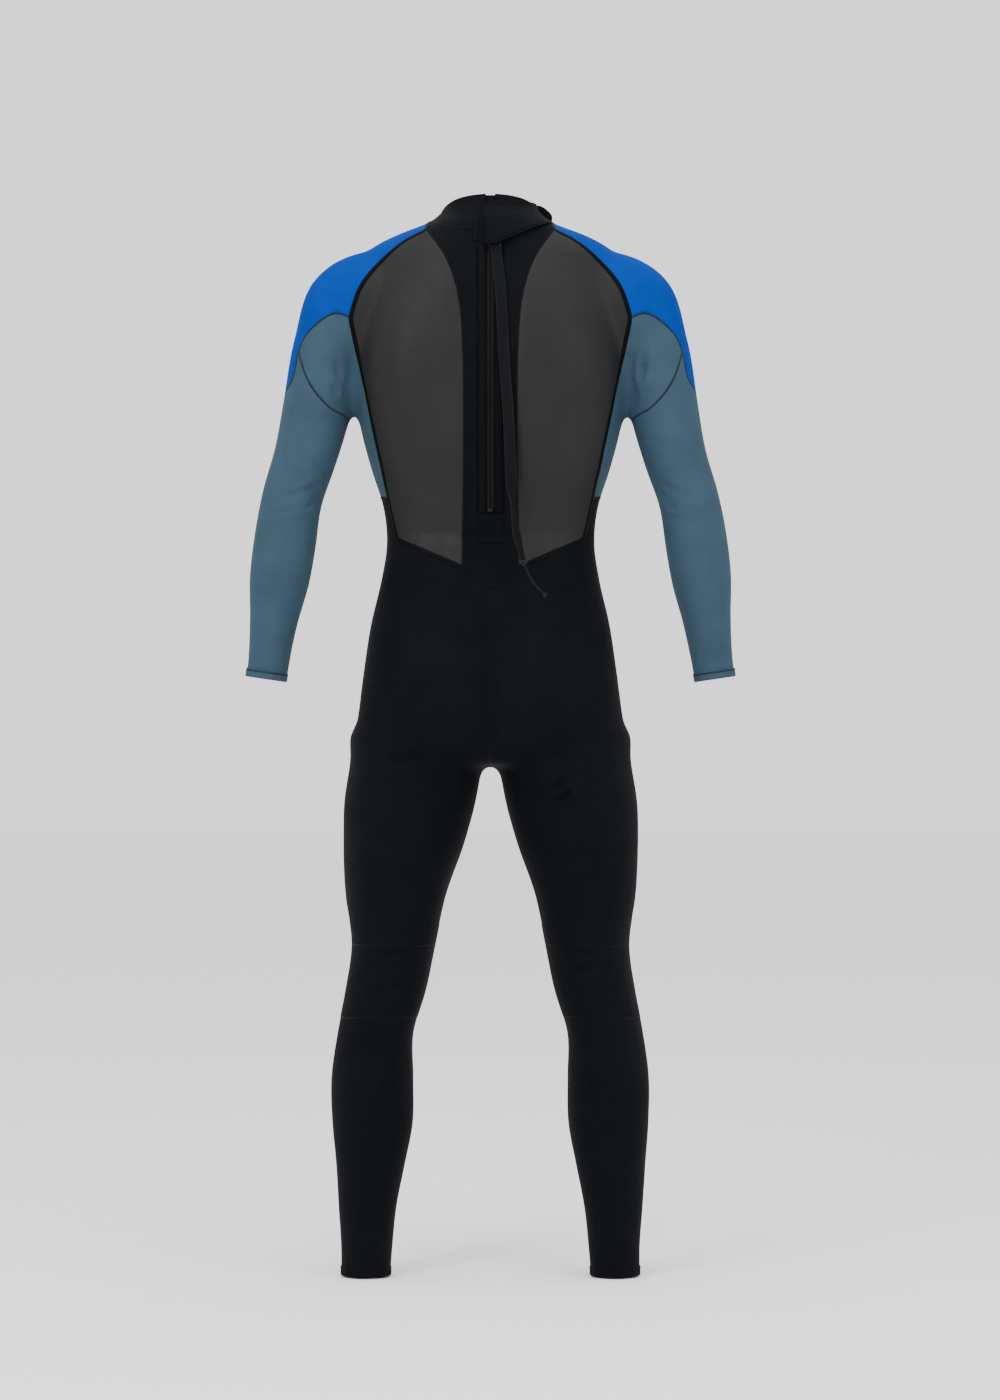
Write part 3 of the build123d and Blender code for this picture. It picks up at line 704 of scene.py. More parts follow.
skin_v = skin_v + skin_n * shaped(skin_v)[:, None]
skin_v = relaxed(skin_v, skin_e, every, 2, -0.53)

# The strip that carries the zip lies on the zip's arc.
ax, ah, ay = np.abs(skin_v[:, 0]), skin_v[:, 2], skin_v[:, 1]
strip = (1 - step(ax, 26, 48)) * (ay > 20) * step(ah, 985, 1000) * (1 - step(ah, 1430, 1446))
skin_v[:, 1] += strip * (back_of(ax, ah) - ay)
skin_n = normals_of(skin_v, skin_t)
cloth = np.hstack([skin_v, skin_n])
tris = skin_t.astype(np.int64)

# Seams: each is a chain of points (distance from the middle, height), on the back, the front or both.
BACK_ONLY, FRONT_ONLY, BOTH = 1, -1, 0
SEAM_REACH, PAST_RIDGE = 16.0, 14
KNEE_SEAM = [(80, 452), (112, 450), (137, 449), (165, 451), (200, 453)]
KNEE_BACK_LOW = [(80, 352), (140, 356), (215, 352)]
PAD_TOP = [(80, 484), (108, 500), (137, 506), (166, 500), (200, 484)]
PAD_LOW = [(80, 362), (112, 346), (140, 340), (170, 346), (215, 362)]
SEAMS = [
    (YOKE_EDGE[1:] + FLANK_EDGE[1:], BOTH), (YOKE_EDGE[:2], BOTH), (WAIST_EDGE, BOTH),
    (YOKE_HEM, BOTH), (GUSSET, BOTH), (FLANK_HEM, BOTH), (SPINE_EDGE, BACK_ONLY),
    (COLLAR_BACK, BACK_ONLY), (COLLAR_FRONT, FRONT_ONLY), (KNEE_SEAM, BACK_ONLY),
    (KNEE_BACK_LOW, BACK_ONLY), (PAD_TOP, FRONT_ONLY), (PAD_LOW, FRONT_ONLY),
    ([(SLOT_HALF, SLOT_LOW), (SLOT_HALF, 1500)], BACK_ONLY), ([(0, SLOT_LOW), (SLOT_HALF, SLOT_LOW)], BACK_ONLY),
    ([(COLLAR_SLOT_HALF, 1415), (COLLAR_SLOT_HALF, 1500)], BACK_ONLY),
]


def flat(v):
    return np.column_stack([np.abs(v[:, 0]), v[:, 2]])


def knee_ridge(h):
    return through(LEG_TABLE, np.clip(h, -30, 755))[:, 2]


for line, where in SEAMS:
    p = flat(cloth)
    near = distance_to(p, line) < SEAM_REACH
    if where:
        near &= (cloth[:, 1] - RIDGE_Y) * where > -PAST_RIDGE
    cloth, tris = cut(cloth, tris, side_of(p, line), near)
# The seat's middle, the collar's ridges, the ridges beside the knees, the neck opening.
p = flat(cloth)
cloth, tris = cut(cloth, tris, cloth[:, 0], (p[:, 1] < 950) & (p[:, 0] < 20))
p = flat(cloth)
cloth, tris = cut(cloth, tris, cloth[:, 1] - RIDGE_Y, (p[:, 0] < 110) & (p[:, 1] > 1370))
p = flat(cloth)
cloth, tris = cut(cloth, tris, cloth[:, 1] - knee_ridge(cloth[:, 2]), (p[:, 1] < 520) & (p[:, 1] > 330))
cloth, tris = cut(cloth, tris, side_of(cloth[:, 1:3], COLLAR_RIM), cloth[:, 2] > 1400)


def past_wrist(v, more=0.0):
    q = v[:, :3] * [1, 1, 1]
    q[:, 0] = np.abs(q[:, 0])
    return (q - WRIST) @ WRIST_DOWN - more


# The wrist and ankle openings.
WRIST_END, ANKLE_END = 2, 10
cloth, tris = cut(cloth, tris, past_wrist(cloth, WRIST_END), np.abs(cloth[:, 0]) > 255)
cloth, tris = cut(cloth, tris, cloth[:, 2] - ANKLE_END, cloth[:, 2] < 40)
cloth[:, 3:] = unit(cloth[:, 3:])

# Panels, by where each triangle's middle lies.
middle = cloth[tris].mean(axis=1)
p = flat(middle)
across, height = p.T
is_back = middle[:, 1] > RIDGE_Y
hand = np.where(middle[:, 0] > 0, "_left", "_right")
above_rim = side_of(middle[:, 1:3], COLLAR_RIM) > 0
collar_zone = np.where(
    is_back, inside(p, COLLAR_BACK + [(-5, 1423), (-5, OUT_OF_TOP), (200, OUT_OF_TOP), (200, 1440)]),
    inside(p, COLLAR_FRONT + [(-5, 1388), (-5, OUT_OF_TOP), (200, OUT_OF_TOP), (200, 1440)]),
)
YOKE = YOKE_EDGE + YOKE_HEM[1:] + [(420, 1190), (420, 1500)]
FLANK = YOKE_HEM[:HEM_TURN + 1] + GUSSET[1:] + FLANK_HEM
CENTRE = [(-5, 1500)] + YOKE_EDGE + FLANK_EDGE[1:] + WAIST_EDGE[1:] + [(-5, 936)]
BACK = YOKE_EDGE[1:] + FLANK_EDGE[1:] + WAIST_EDGE[1:2] + SPINE_EDGE[-2:0:-1]
SLEEVE = YOKE_HEM[HEM_TURN:] + [(420, 1190), (420, 700), (240, 780), (216, 1000), (196, 1100)]
SLEEVE += GUSSET[:0:-1]
label = np.full(len(middle), "trouser", dtype="<U24")
centre, sleeve = inside(p, CENTRE), inside(p, SLEEVE)
label[centre & is_back] = "spine_panel"
label[centre & ~is_back] = "chest_panel"
label[centre & is_back & inside(p, BACK)] = "back_panel"
label[sleeve & (height < 1262)] = "sleeve"
label[inside(p, YOKE)] = "shoulder_yoke"
under_arm = (across > 180) & (across < 192) & (height > 1072) & (height < 1160)
label[inside(p, FLANK) | (under_arm & ~sleeve)] = "side_panel"
label[collar_zone] = "collar"
leg = (across < 240) & (height < 600)
behind = middle[:, 1] > knee_ridge(middle[:, 2])
for zone, top, edge, kind in (
    (behind, 460, KNEE_SEAM, "knee_back"), (behind, 370, KNEE_BACK_LOW, "shin"),
    (~behind, 510, PAD_TOP, "knee_pad"), (~behind, 390, PAD_LOW, "shin"),
):
    label[leg & zone & (height < top) & (side_of(p, edge) < 0)] = kind
single = np.isin(label, ["spine_panel", "chest_panel", "collar"])
label = np.where(single, label, np.char.add(label, hand))
gone = (above_rim & (height > 1400)) | (height < ANKLE_END)
gone |= (past_wrist(middle) > WRIST_END) & (across > 250) & (height < 900)
slot_half = np.where(collar_zone, COLLAR_SLOT_HALF, SLOT_HALF)
gone |= is_back & (across < slot_half) & (height > SLOT_LOW) & (height < 1500)
label[gone] = ""

LOOKS = {
    "collar": BLACK, "shoulder_yoke": BLUE, "side_panel": SLATE, "back_panel": SKIN, "spine_panel": BLACK,
    "chest_panel": SKIN, "sleeve": SLATE, "trouser": BLACK, "knee_back": BLACK, "knee_pad": KNEE, "shin": BLACK,
}


def bend_knee(obj):
    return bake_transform(obj)


def bend_elbow(obj):
    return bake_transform(obj)


def rim_pairs(t):
    """Directed edges that only one triangle has."""
    e = sides_of(t)
    _, back, count = np.unique(np.sort(e, axis=1), axis=0, return_inverse=True, return_counts=True)
    return e[count[back.reshape(-1)] == 1]


def shelled(t, n):
    """The triangles t, the same turned round on a second layer n points on, and the rim between them."""
    rims = rim_pairs(t)
    return np.vstack([
        t, t[:, ::-1] + n,
        np.column_stack([rims[:, 1], rims[:, 0], rims[:, 0] + n]),
        np.column_stack([rims[:, 1], rims[:, 0] + n, rims[:, 1] + n]),
    ])


def panel(name, kind, thick):
    used, local = np.unique(tris[label == name], return_inverse=True)
    local = local.reshape(-1, 3)
    v, n = cloth[used, :3], cloth[used, 3:]
    outer = v.copy()
    border = np.unique(rim_pairs(local))
    outer[border] -= n[border] * 0.35
    faces = shelled(local, len(v))
    looks = np.concatenate([np.zeros(len(local)), np.ones(len(faces) - len(local))]).astype(int)
    obj = make(name, np.vstack([outer, v - n * thick]), faces, [LOOKS[kind], LINING], index=looks)
    return obj


for name in sorted(set(label.tolist()) - {""}):
    hand = name.rsplit("_", 1)[-1]
    kind = name[: -len(hand) - 1] if hand in ("left", "right") else name
    obj = panel(name, kind, SLEEVE_WALL if kind == "sleeve" else WALL)
    if kind == "sleeve":
        bend_elbow(obj)
        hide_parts(f"upper_sleeve_{hand}", f"elbow_sleeve_{hand}", f"forearm_sleeve_{hand}")
        continue
    if kind in ("trouser", "knee_back", "knee_pad", "shin"):
        bend_knee(obj)
    else:
        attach(obj, "root")
    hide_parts(name)


# Seams: chains of edges between two panels, laid over with tape or flatlock stitching.
def linked(pairs):
    links = {}
    for i, j in pairs:
        links.setdefault(i, []).append(j)
        links.setdefault(j, []).append(i)
    return links


def walked(links, line, left):
    """Runs the line on along its links for as long as there are points left."""
    while True:
        after = [j for j in links[line[-1]] if j in left]
        if not after:
            return line
        line.append(after[0])
        left.discard(after[0])


def chains(first, second):
    """Lines of vertices along the border of two sets of panels."""
    sides = [np.sort(sides_of(tris[np.isin(label, names)]), axis=1) for names in (first, second)]
    links = linked(sorted(set(map(tuple, sides[0].tolist())) & set(map(tuple, sides[1].tolist()))))
    left, lines = set(links), []
    while left:
        ends = [i for i in left if len(links[i]) == 1]
        line = [min(ends) if ends else min(left)]
        left.discard(line[0])
        walked(links, line, left)
        if not ends and len(line) > 2:
            line.append(line[0])
        if len(line) > 3:
            lines.append(line)
    return lines


def resampled(points, gap):
    along = np.concatenate([[0], np.cumsum(np.linalg.norm(np.diff(points[:, :3], axis=0), axis=1))])
    keep = np.concatenate([[True], np.diff(along) > 1e-6])
    along, points = along[keep], points[keep]
    at = np.linspace(0, along[-1], max(3, int(along[-1] / gap) + 1))
    return np.column_stack([np.interp(at, along, points[:, k]) for k in range(points.shape[1])]), at


def strip_on(points, normals, along, wide, proud, lift=0.0, sag=-0.5):
    """A thin domed band along a line on the skin: vertices, faces and UV in metres."""
    tangent = unit(np.gradient(points, axis=0))
    across = unit(np.cross(tangent, normals))
    profile = [(-0.5, sag), (-0.46, proud * 0.55), (-0.2, proud), (0.2, proud), (0.46, proud * 0.55), (0.5, sag)]
    rings = [points + across * wide * x + normals * (z + lift) for x, z in profile]
    verts = np.stack(rings, axis=1).reshape(-1, 3)
    return verts, tube(len(points), len(profile)), band_uv(along, [wide * x for x, _ in profile])


def merged(parts):
    verts, faces, uvs, start = [], [], [], 0
    for v, f, u in parts:
        verts.append(v)
        uvs.append(u)
        faces += [tuple(start + i for i in face) for face in f]
        start += len(v)
    return np.vstack(verts), faces, np.vstack(uvs)


def softened(points, times):
    for _ in range(times):
        points[1:-1] = points[1:-1] * 0.5 + (points[:-2] + points[2:]) * 0.25
    return points


def seam_band(name, lines, wide, proud, material):
    parts = []
    for line in lines:
        rows, along = resampled(cloth[line], 3.0)
        rows = softened(rows, 6)
        parts.append(strip_on(rows[:, :3], unit(rows[:, 3:]), along, wide, proud))
    verts, faces, uv = merged(parts)
    return make(name, verts, faces, material, uv=uv)


for hand in ("left", "right"):
    yoke, flank, arm, leg, shin, knee_back, knee_pad, back = (
        f"{kind}_{hand}" for kind in
        ("shoulder_yoke", "side_panel", "sleeve", "trouser", "shin", "knee_back", "knee_pad", "back_panel")
    )
    middle_panels = [back, "spine_panel", "chest_panel"]
    tape = seam_band(f"seam_tape_{hand}", chains(middle_panels, [yoke, flank, leg]), 6.2, 0.7, TAPE)
    placed(tape, "root", "seam_tape", f"seam_tape_{hand}")
    for seam, lines, wide, proud, material in (
        ("yoke", chains([yoke], [flank, arm]), 2.6, 0.4, GREY_STITCH),
        ("gusset", chains([arm], [flank]), 2.6, 0.4, GREY_STITCH),
        ("spine", chains(["spine_panel"], [back]), 3.6, 0.5, BLACK_STITCH),
        ("flank", chains([flank], [leg]), 3.6, 0.5, BLACK_STITCH),
    ):
        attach(seam_band(f"{seam}_stitching_{hand}", lines, wide, proud, material), "root")
    round_knee = chains([knee_back], [leg, shin, knee_pad]) + chains([knee_pad], [leg, shin])
    bend_knee(seam_band(f"knee_stitching_{hand}", round_knee, 3.4, 0.5, BLACK_STITCH))
below_collar = ["spine_panel", "chest_panel", "shoulder_yoke_left", "shoulder_yoke_right"]
below_collar += ["back_panel_left", "back_panel_right"]
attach(seam_band("collar_stitching", chains(["collar"], below_collar), 3.4, 0.5, BLACK_STITCH), "root")
seat_lines = chains(["trouser_left"], ["trouser_right"])
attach(seam_band("seat_stitching", seat_lines, 3.6, 0.5, BLACK_STITCH), "root")


# Zip: everything lies in bands on the zip's arc, at a depth under the skin.
def arc_point(x, depth, h):
    angle = math.asin((h - APEX_H) / ARC)
    reach = ARC - depth
    return (x, APEX_Y - ARC + reach * math.cos(angle), APEX_H + reach * math.sin(angle))


def arc_band(x0, x1, deep, shallow, low, high, gap=6.0, round_by=0.3):
    """A bar with softened edges along the zip, from x0 to x1 and from one depth to another."""
    rows = np.linspace(low, high, max(2, int((high - low) / gap) + 1))
    r = min(round_by, abs(x1 - x0) * 0.4, abs(deep - shallow) * 0.4)
    a, b = min(x0, x1), max(x0, x1)
    profile = [
        (a, deep - r), (a, shallow + r), (a + r, shallow), (b - r, shallow),
        (b, shallow + r), (b, deep - r), (b - r, deep), (a + r, deep),
    ]
    verts = np.array([arc_point(x, d, h) for h in rows for x, d in profile])
    uv = np.array([(h, x) for h in rows for x, _ in profile]) / 1000
    return verts, tube(len(rows), len(profile), turned=True), uv


def band_piece(name, parts, material, body, slot, nodes=(), smooth=False):
    verts, faces, uv = merged(parts)
    return placed(make(name, verts, faces, material, uv=uv, smooth=smooth), body, slot, *nodes)


for s, hand in ((1, "left"), (-1, "right")):
    placket = arc_band(s * 6.6, s * 16.5, 3.0, -0.25, SLOT_LOW, 1434, round_by=1.2)
    band_piece(f"zip_placket_{hand}", [placket], BLACK, "root", "black_neoprene", [f"zip_placket_{hand}"], True)
    welt = arc_band(s * 5.6, s * 7.4, 1.7, -0.7, SLOT_LOW, 1430, round_by=0.6)
    band_piece(f"placket_welt_{hand}", [welt], BINDING, "root", "black_neoprene", smooth=True)
    tape = arc_band(s * 3.6, s * 16.0, 4.0, 3.0, ZIP_LOW, ZIP_TOP)
    band_piece(f"zip_tape_{hand}", [tape], ZIP_TAPE, "root", "zip_tape", [f"zip_tape_{hand}"])
    # The right row's teeth lie between the left row's.
    stagger = 0 if s > 0 else 1.2
    teeth = [
        arc_band(s * 0.2, s * 3.6, 4.6, 2.3, h + stagger, h + stagger + 1.35) for h in np.arange(1045.0, 1421.5, 2.5)
    ]
    teeth.append(arc_band(s * 2.4, s * 4.2, 4.3, 2.6, ZIP_LOW, ZIP_TOP))
    band_piece(f"zip_row_{hand}", teeth, PLASTIC, "root", "zip_plastic", [f"zip_row_{hand}"])
    lines = []
    for x, low, proud in ((8.6, 1040.0, 0.2), (15.2, 1030.0, 0.2), (18.6, 1030.0, 0.0)):
        h = np.arange(low, 1420, 3.0)
        points = np.array([arc_point(s * x, 0.0, q) for q in h])
        normals = unit(points - [0, APEX_Y - ARC, APEX_H]) * [0, 1, 1]
        points[:, 1] = back_of(points[:, 0], points[:, 2]) + proud
        lines.append(strip_on(points, unit(normals), h - low, 1.1, 0.35, 0.1))
    verts, faces, uv = merged(lines)
    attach(make(f"placket_stitching_{hand}", verts, faces, BLACK_STITCH, uv=uv), "root")
bottom_stop = [arc_band(-4.4, 4.4, 5.1, 1.9, SLOT_LOW, ZIP_LOW, 2)]
top_stops = [arc_band(s * 0.8, s * 3.6, 5.1, 1.9, ZIP_TOP, ZIP_TOP + 3, 1) for s in (1, -1)]
barrier = [arc_band(-24, 24, 9, 7, 1032, ZIP_TOP, round_by=0.8)]
for name, parts, material, slot in (
    ("zip_bottom_stop", bottom_stop, PLASTIC, "zip_plastic"), ("zip_top_stops", top_stops, PLASTIC, "zip_plastic"),
    ("zip_barrier", barrier, LINING, "black_neoprene"),
):
    band_piece(name, parts, material, "root", slot, [name], True)


def soft_sheet(name, xs, hs, offset, thick):
    """A thin black piece that follows the back's skin, offset from it, over a grid of x and heights."""
    grid = np.array([(a, float(back_of(a, b)[0]) + offset, b) for b in hs for a in xs])
    m, r = len(xs), len(hs)
    faces = [
        (i * m + j + 1, i * m + j, (i + 1) * m + j, (i + 1) * m + j + 1) for i in range(r - 1) for j in range(m - 1)
    ]
    rim = [i * m for i in range(r)] + [(r - 1) * m + j for j in range(1, m)]
    rim += [i * m + m - 1 for i in range(r - 2, -1, -1)] + [j for j in range(m - 2, 0, -1)]
    count = len(grid)
    faces += [tuple(q + count for q in f[::-1]) for f in faces]
    faces += [(a, b, b + count, a + count) for a, b in zip(rim, rim[1:] + rim[:1])]
    return make(name, np.vstack([grid, grid - [0, thick, 0]]), faces, BLACK)


# Underlap behind the collar's slot, so that the neck closes behind the zip.
underlap = soft_sheet("collar_underlap", np.linspace(-20, 20, 14), np.linspace(1424, 1471, 14), -3.2, 2.0)
placed(underlap, "root", "black_neoprene")

# Patch under the zip's lower end, boxed in with rows of stitching.
PATCH_LIFT = 0.75
patch = soft_sheet("zip_patch", np.linspace(-16.5, 16.5, 12), np.arange(998, 1038.1, 4.0), PATCH_LIFT, 2.2)
placed(patch, "root", "seam_tape", "zip_patch")
box = []
for (x0, h0), (x1, h1) in (
    ((-16.2, 1036), (16.2, 1036)), ((-16.2, 1024), (16.2, 1024)), ((-16.2, 1000), (16.2, 1000)),
    ((-15.6, 1000), (-15.6, 1038)), ((15.6, 1000), (15.6, 1038)),
):
    t = np.linspace(0, 1, 12)
    xs, hs = x0 + (x1 - x0) * t, h0 + (h1 - h0) * t
    points = np.column_stack([xs, back_of(xs, hs) + PATCH_LIFT, hs])
    along = t * math.hypot(x1 - x0, h1 - h0)
    box.append(strip_on(points, np.tile([0.0, 1.0, 0.0], (12, 1)), along, 1.2, 0.4, 0.05))
verts, faces, uv = merged(box)
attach(make("patch_stitching", verts, faces, BLACK_STITCH, uv=uv), "root")

# Slider: two plates at these depths with their flanges, the wedge between them, and the bail.
OUT, IN = 2.0, 5.0
body = [
    arc_band(-5.6, 5.6, depth, depth - 1.4, SLIDER_LOW, SLIDER_TOP, 2, 0.5) for depth in (OUT, IN + 1.4)
]
body += [
    arc_band(s * 4.2, s * 5.6, deep, deep - 0.7, SLIDER_LOW, SLIDER_TOP, 2)
    for deep in (OUT + 0.6, IN + 0.1) for s in (1, -1)
]
body.append(arc_band(-0.5, 0.5, IN, OUT, 1416, SLIDER_TOP, 2))
body += [
    arc_band(-1.2, 1.2, deep, -3.4, low, high, 1)
    for deep, low, high in ((0.8, SLIDER_LOW, 1407.4), (0.8, 1413, 1414.4), (-2.4, SLIDER_LOW, 1414.4))
]
band_piece("zip_slider", body, METAL, "slider", "slider_metal", ["zip_slider"])
# Pull: a pin through the bail, two cheeks and the bar that carries the leash.
pin = arc_band(-3.5, 3.5, -0.3, -1.7, 1408.3, 1409.7, 1, 0.5)
cheeks = [arc_band(s * 2, s * 3.5, -0.2, -1.8, 1401, 1410, 1, 0.4) for s in (1, -1)]
bar = arc_band(-14.5, 3.5, -0.2, -2.2, 1398, 1401, 1, 0.8)
band_piece("zip_pull", [pin, bar] + cheeks, METAL, "pull", "slider_metal", ["zip_pull"])


# Leash: routes as smooth splines, read back as lines.
def spline_line(name, points, count=6):
    data = bpy.data.curves.new(name, "CURVE")
    data.dimensions = "3D"
    data.resolution_u = count
    curve = data.splines.new("NURBS")
    curve.points.add(len(points) - 1)
    for q, co in zip(curve.points, metres(points)):
        q.co = (*co, 1)
    curve.order_u = 3
    curve.use_endpoint_u = True
    obj = bpy.data.objects.new(name, data)
    bpy.context.collection.objects.link(obj)
    return obj


guide = spline_line("guide", WEBBING_ROUTE, 16)
line_mesh = bpy.data.meshes.new_from_object(guide)
line = np.array([v.co for v in line_mesh.vertices]) * 1000 + [0, 0, NECK]
bpy.data.objects.remove(guide)
bpy.data.meshes.remove(line_mesh)
if line[0][2] < line[-1][2]:
    line = line[::-1]
line, along = resampled(line, 3.0)
tangent = unit(np.gradient(line, axis=0))
turn = np.radians(4 * np.sin(along / 37) + 62 * step(along, 322, 352) - 24 * step(along, 368, 400))
turn += np.radians(10 * np.sin(along / 61 + 1) * step(along, 40, 120))
turn *= step(along, 8, 40)
side = unit(np.cross(tangent, [0.0, 1.0, 0.0]))
front = unit(np.cross(side, tangent))
across = side * np.cos(turn)[:, None] + front * np.sin(turn)[:, None]
normal = unit(np.cross(across, tangent))
shape = [(-7.5, -0.35), (-7.5, 0.35), (-7.0, 0.85), (-6.2, 0.72), (6.2, 0.72), (7.0, 0.85), (7.5, 0.35),
         (7.5, -0.35), (7.0, -0.85), (6.2, -0.72), (-6.2, -0.72), (-7.0, -0.85)]
narrow = 1 - 0.35 * step(along, 395, 425)
cup = 0.05 * np.sin(along / 29) * 7.5
rings = [
    line + across * (w * narrow)[:, None] + normal * (z + cup * (1 - (w / 7.5) ** 2))[:, None] for w, z in shape
]
verts = np.stack(rings, axis=1).reshape(-1, 3)
uv, faces = band_uv(along, [w for w, _ in shape]), tube(len(line), len(shape))
# The broad faces are webbing, the rest is selvedge.
edges = [0 if k % len(shape) in (3, 9) else 1 for k in range(len(faces) - 2)] + [1, 1]
webbing = make("leash_webbing", verts, faces, [WEBBING, SELVEDGE], uv=uv, index=edges)
placed(webbing, "pull", "webbing", "leash_webbing")


def knot_at(name, centre, radius):
    """An overhand knot, drawn up tight: one strand wound round itself."""
    t = np.linspace(0, 2 * math.pi, 60, endpoint=False)
    x = np.sin(t) + 2 * np.sin(2 * t)
    y = np.cos(t) - 2 * np.cos(2 * t)
    z = -np.sin(3 * t)
    loop = np.column_stack([x, z * 1.1, y * 1.1]) / 3 * radius * 0.62
    around = unit(np.roll(loop, -1, axis=0) - np.roll(loop, 1, axis=0))
    one = unit(np.cross(around, [0.3, 1.0, 0.2]))
    two = np.cross(around, one)
    a = np.linspace(0, 2 * math.pi, 10, endpoint=False)
    spokes = one[:, None] * np.cos(a)[None, :, None] + two[:, None] * np.sin(a)[None, :, None]
    verts = (loop[:, None] + spokes * radius * 0.4).reshape(-1, 3) + centre
    n, m = len(loop), len(a)
    uv = np.array([(i * radius * 0.1, j * 0.4) for i in range(n) for j in range(m)]) / 1000
    return placed(make(name, verts, tube(n, m, ring=True), CORD, uv=uv), "pull", "cord", name)


knot = knot_at("leash_knot", np.array([-45.2, 118, 970]), 4.6)
end_knot = knot_at("leash_end_knot", np.array([-73, 117.4, 927]), 3.6)
thin = spline_line("leash_cord", CORD_ROUTE, 12)
thin.data.bevel_depth = 0.0015
thin.data.bevel_resolution = 4
thin.data.use_fill_caps = True
thin.data.materials.append(CORD)
placed(thin, "pull", "cord", "leash_cord")


# Closure flap across the back of the neck: rounded tab, bound edge and a row of stitching.
def rounded(points, radii, count=8):
    """A closed outline with its corners rounded."""
    points = np.array(points, float)
    out = []
    for k, r in enumerate(radii):
        a, b, c = points[k - 1], points[k], points[(k + 1) % len(points)]
        one, two = a - b, c - b
        reach = min(r, np.linalg.norm(one) * 0.45, np.linalg.norm(two) * 0.45)
        p, q = b + unit(one) * reach, b + unit(two) * reach
        for t in np.linspace(0, 1, count):
            out.append((1 - t) ** 2 * p + 2 * t * (1 - t) * b + t * t * q)
    return np.array(out)


SWING = math.radians(2.5)
FLAP_LIFT = 2.6



def swung(points):
    """Turns points away from the neck about the upright line at the tab's end."""
    points = np.array(points, float)
    x, y = points[:, 0] + 80, points[:, 1]
    return np.column_stack([
        -80 + x * math.cos(SWING) - y * math.sin(SWING), x * math.sin(SWING) + y * math.cos(SWING), points[:, 2],
    ])


def plate_on(outline, lift, thick, step_mm=3.0, edge=1.2):
    """A soft plate that follows the skin: outline in (x, height), lifted off it."""
    low, high = outline.min(axis=0) - 1, outline.max(axis=0) + 1
    xs, hs = np.arange(low[0], high[0], step_mm), np.arange(low[1], high[1], step_mm)
    grid = np.array([(a, b) for b in hs for a in xs])
    index = np.arange(len(grid)).reshape(len(hs), len(xs))
    t = np.concatenate([
        np.stack([index[:-1, :-1], index[:-1, 1:], index[1:, 1:]], axis=-1).reshape(-1, 3),
        np.stack([index[:-1, :-1], index[1:, 1:], index[1:, :-1]], axis=-1).reshape(-1, 3),
    ])
    gap = distance_to(grid, closed(outline)) * np.where(inside(grid, outline), 1, -1)
    v = np.column_stack([grid, gap * 0])
    v, t = cut(v, t, np.where(np.abs(gap) < 0.36, np.sign(gap) * 0.36, gap), np.ones(len(v), bool))
    middle = v[t].mean(axis=1)[:, :2]
    t = t[inside(middle, outline)]
    used, t = np.unique(t, return_inverse=True)
    t = t.reshape(-1, 3)
    v = v[used, :2]
    gap = distance_to(v, closed(outline))
    rise = thick * np.sqrt(np.clip(1 - (1 - np.clip(gap / edge, 0, 1)) ** 2, 0, 1)) * 0.5
    base = back_of(v[:, 0], v[:, 1]) + lift + thick / 2
    a, b = v[t[:, 1]] - v[t[:, 0]], v[t[:, 2]] - v[t[:, 0]]
    if (a[:, 0] * b[:, 1] - a[:, 1] * b[:, 0]).sum() > 0:
        t = t[:, ::-1]
    top = np.column_stack([v[:, 0], base + rise, v[:, 1]])
    under = np.column_stack([v[:, 0], base - rise, v[:, 1]])
    return np.vstack([top, under]), shelled(t, len(v))


def flap_wave(x):
    """A slow wave along the flap, and a ridge over its seam."""
    wave = 0.9 * np.sin((x + 20) / 17) * step(-x, 0, 30) * (1 - step(-x, 60, 78))
    return wave + 0.7 * np.exp(-((x - 8) / 4) ** 2)


FLAP = [(13, 1459), (13, 1403), (0, 1401.5), (-58, 1427), (-82, 1437), (-84, 1449), (-70, 1462), (-30, 1463)]
outline = rounded(FLAP, [4, 3, 8, 30, 4, 5, 8, 30])
verts, faces = plate_on(outline, FLAP_LIFT, 2.8, 2.4)
verts[:, 1] += flap_wave(verts[:, 0])
placed(make("closure_flap", swung(verts), faces, BLACK), "flap", "black_neoprene", "closure_flap")
for name, inset, lift, wide, proud, sag, material in (
    ("flap_binding", 0.0, 1.3, 2.4, 1.7, -1.4, BINDING), ("flap_stitching", 3.4, 2.85, 1.2, 0.35, -0.3, BLACK_STITCH),
):
    ring = closed(outline)
    away = unit(np.column_stack([np.gradient(ring[:, 1]), -np.gradient(ring[:, 0])]))
    if ((ring - outline.mean(axis=0)) * away).sum() < 0:
        away = -away
    ring = ring - away * inset
    line, along = resampled(np.column_stack([ring[:, 0], ring[:, 0] * 0, ring[:, 1]]), 1.5)
    line[:, 1] = back_of(line[:, 0], line[:, 2]) + FLAP_LIFT + lift + flap_wave(line[:, 0])
    normals = np.tile([0.0, 1.0, 0.0], (len(line), 1))
    v, f, u = strip_on(swung(line), normals, along, wide, proud, 0.0, sag)
    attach(make(name, v, f, material, uv=u), "flap")
PATCH = rounded([(-56, 1460), (-70, 1459), (-80, 1448), (-79, 1439), (-56, 1431)], [2, 4, 3, 2, 2])
SEAM_PATCH = rounded([(16.6, 1456), (24, 1455), (24, 1406), (16.6, 1405)], [2, 3, 3, 2])
for name, outline, lift, thick, edge, material, body, slot in (
    ("hook_patch", PATCH, 1.4, 1.1, 0.5, HOOK, "flap", "hook_plastic"),
    ("loop_patch", PATCH, -0.2, 1.3, 0.5, LOOP, "root", "loop_fabric"),
    ("flap_seam", SEAM_PATCH, -0.6, 1.9, 1.0, BLACK, "root", "black_neoprene"),
):
    verts, faces = plate_on(outline, lift, thick, 2.0, edge)
    placed(make(name, swung(verts) if body == "flap" else verts, faces, material), body, slot, name)


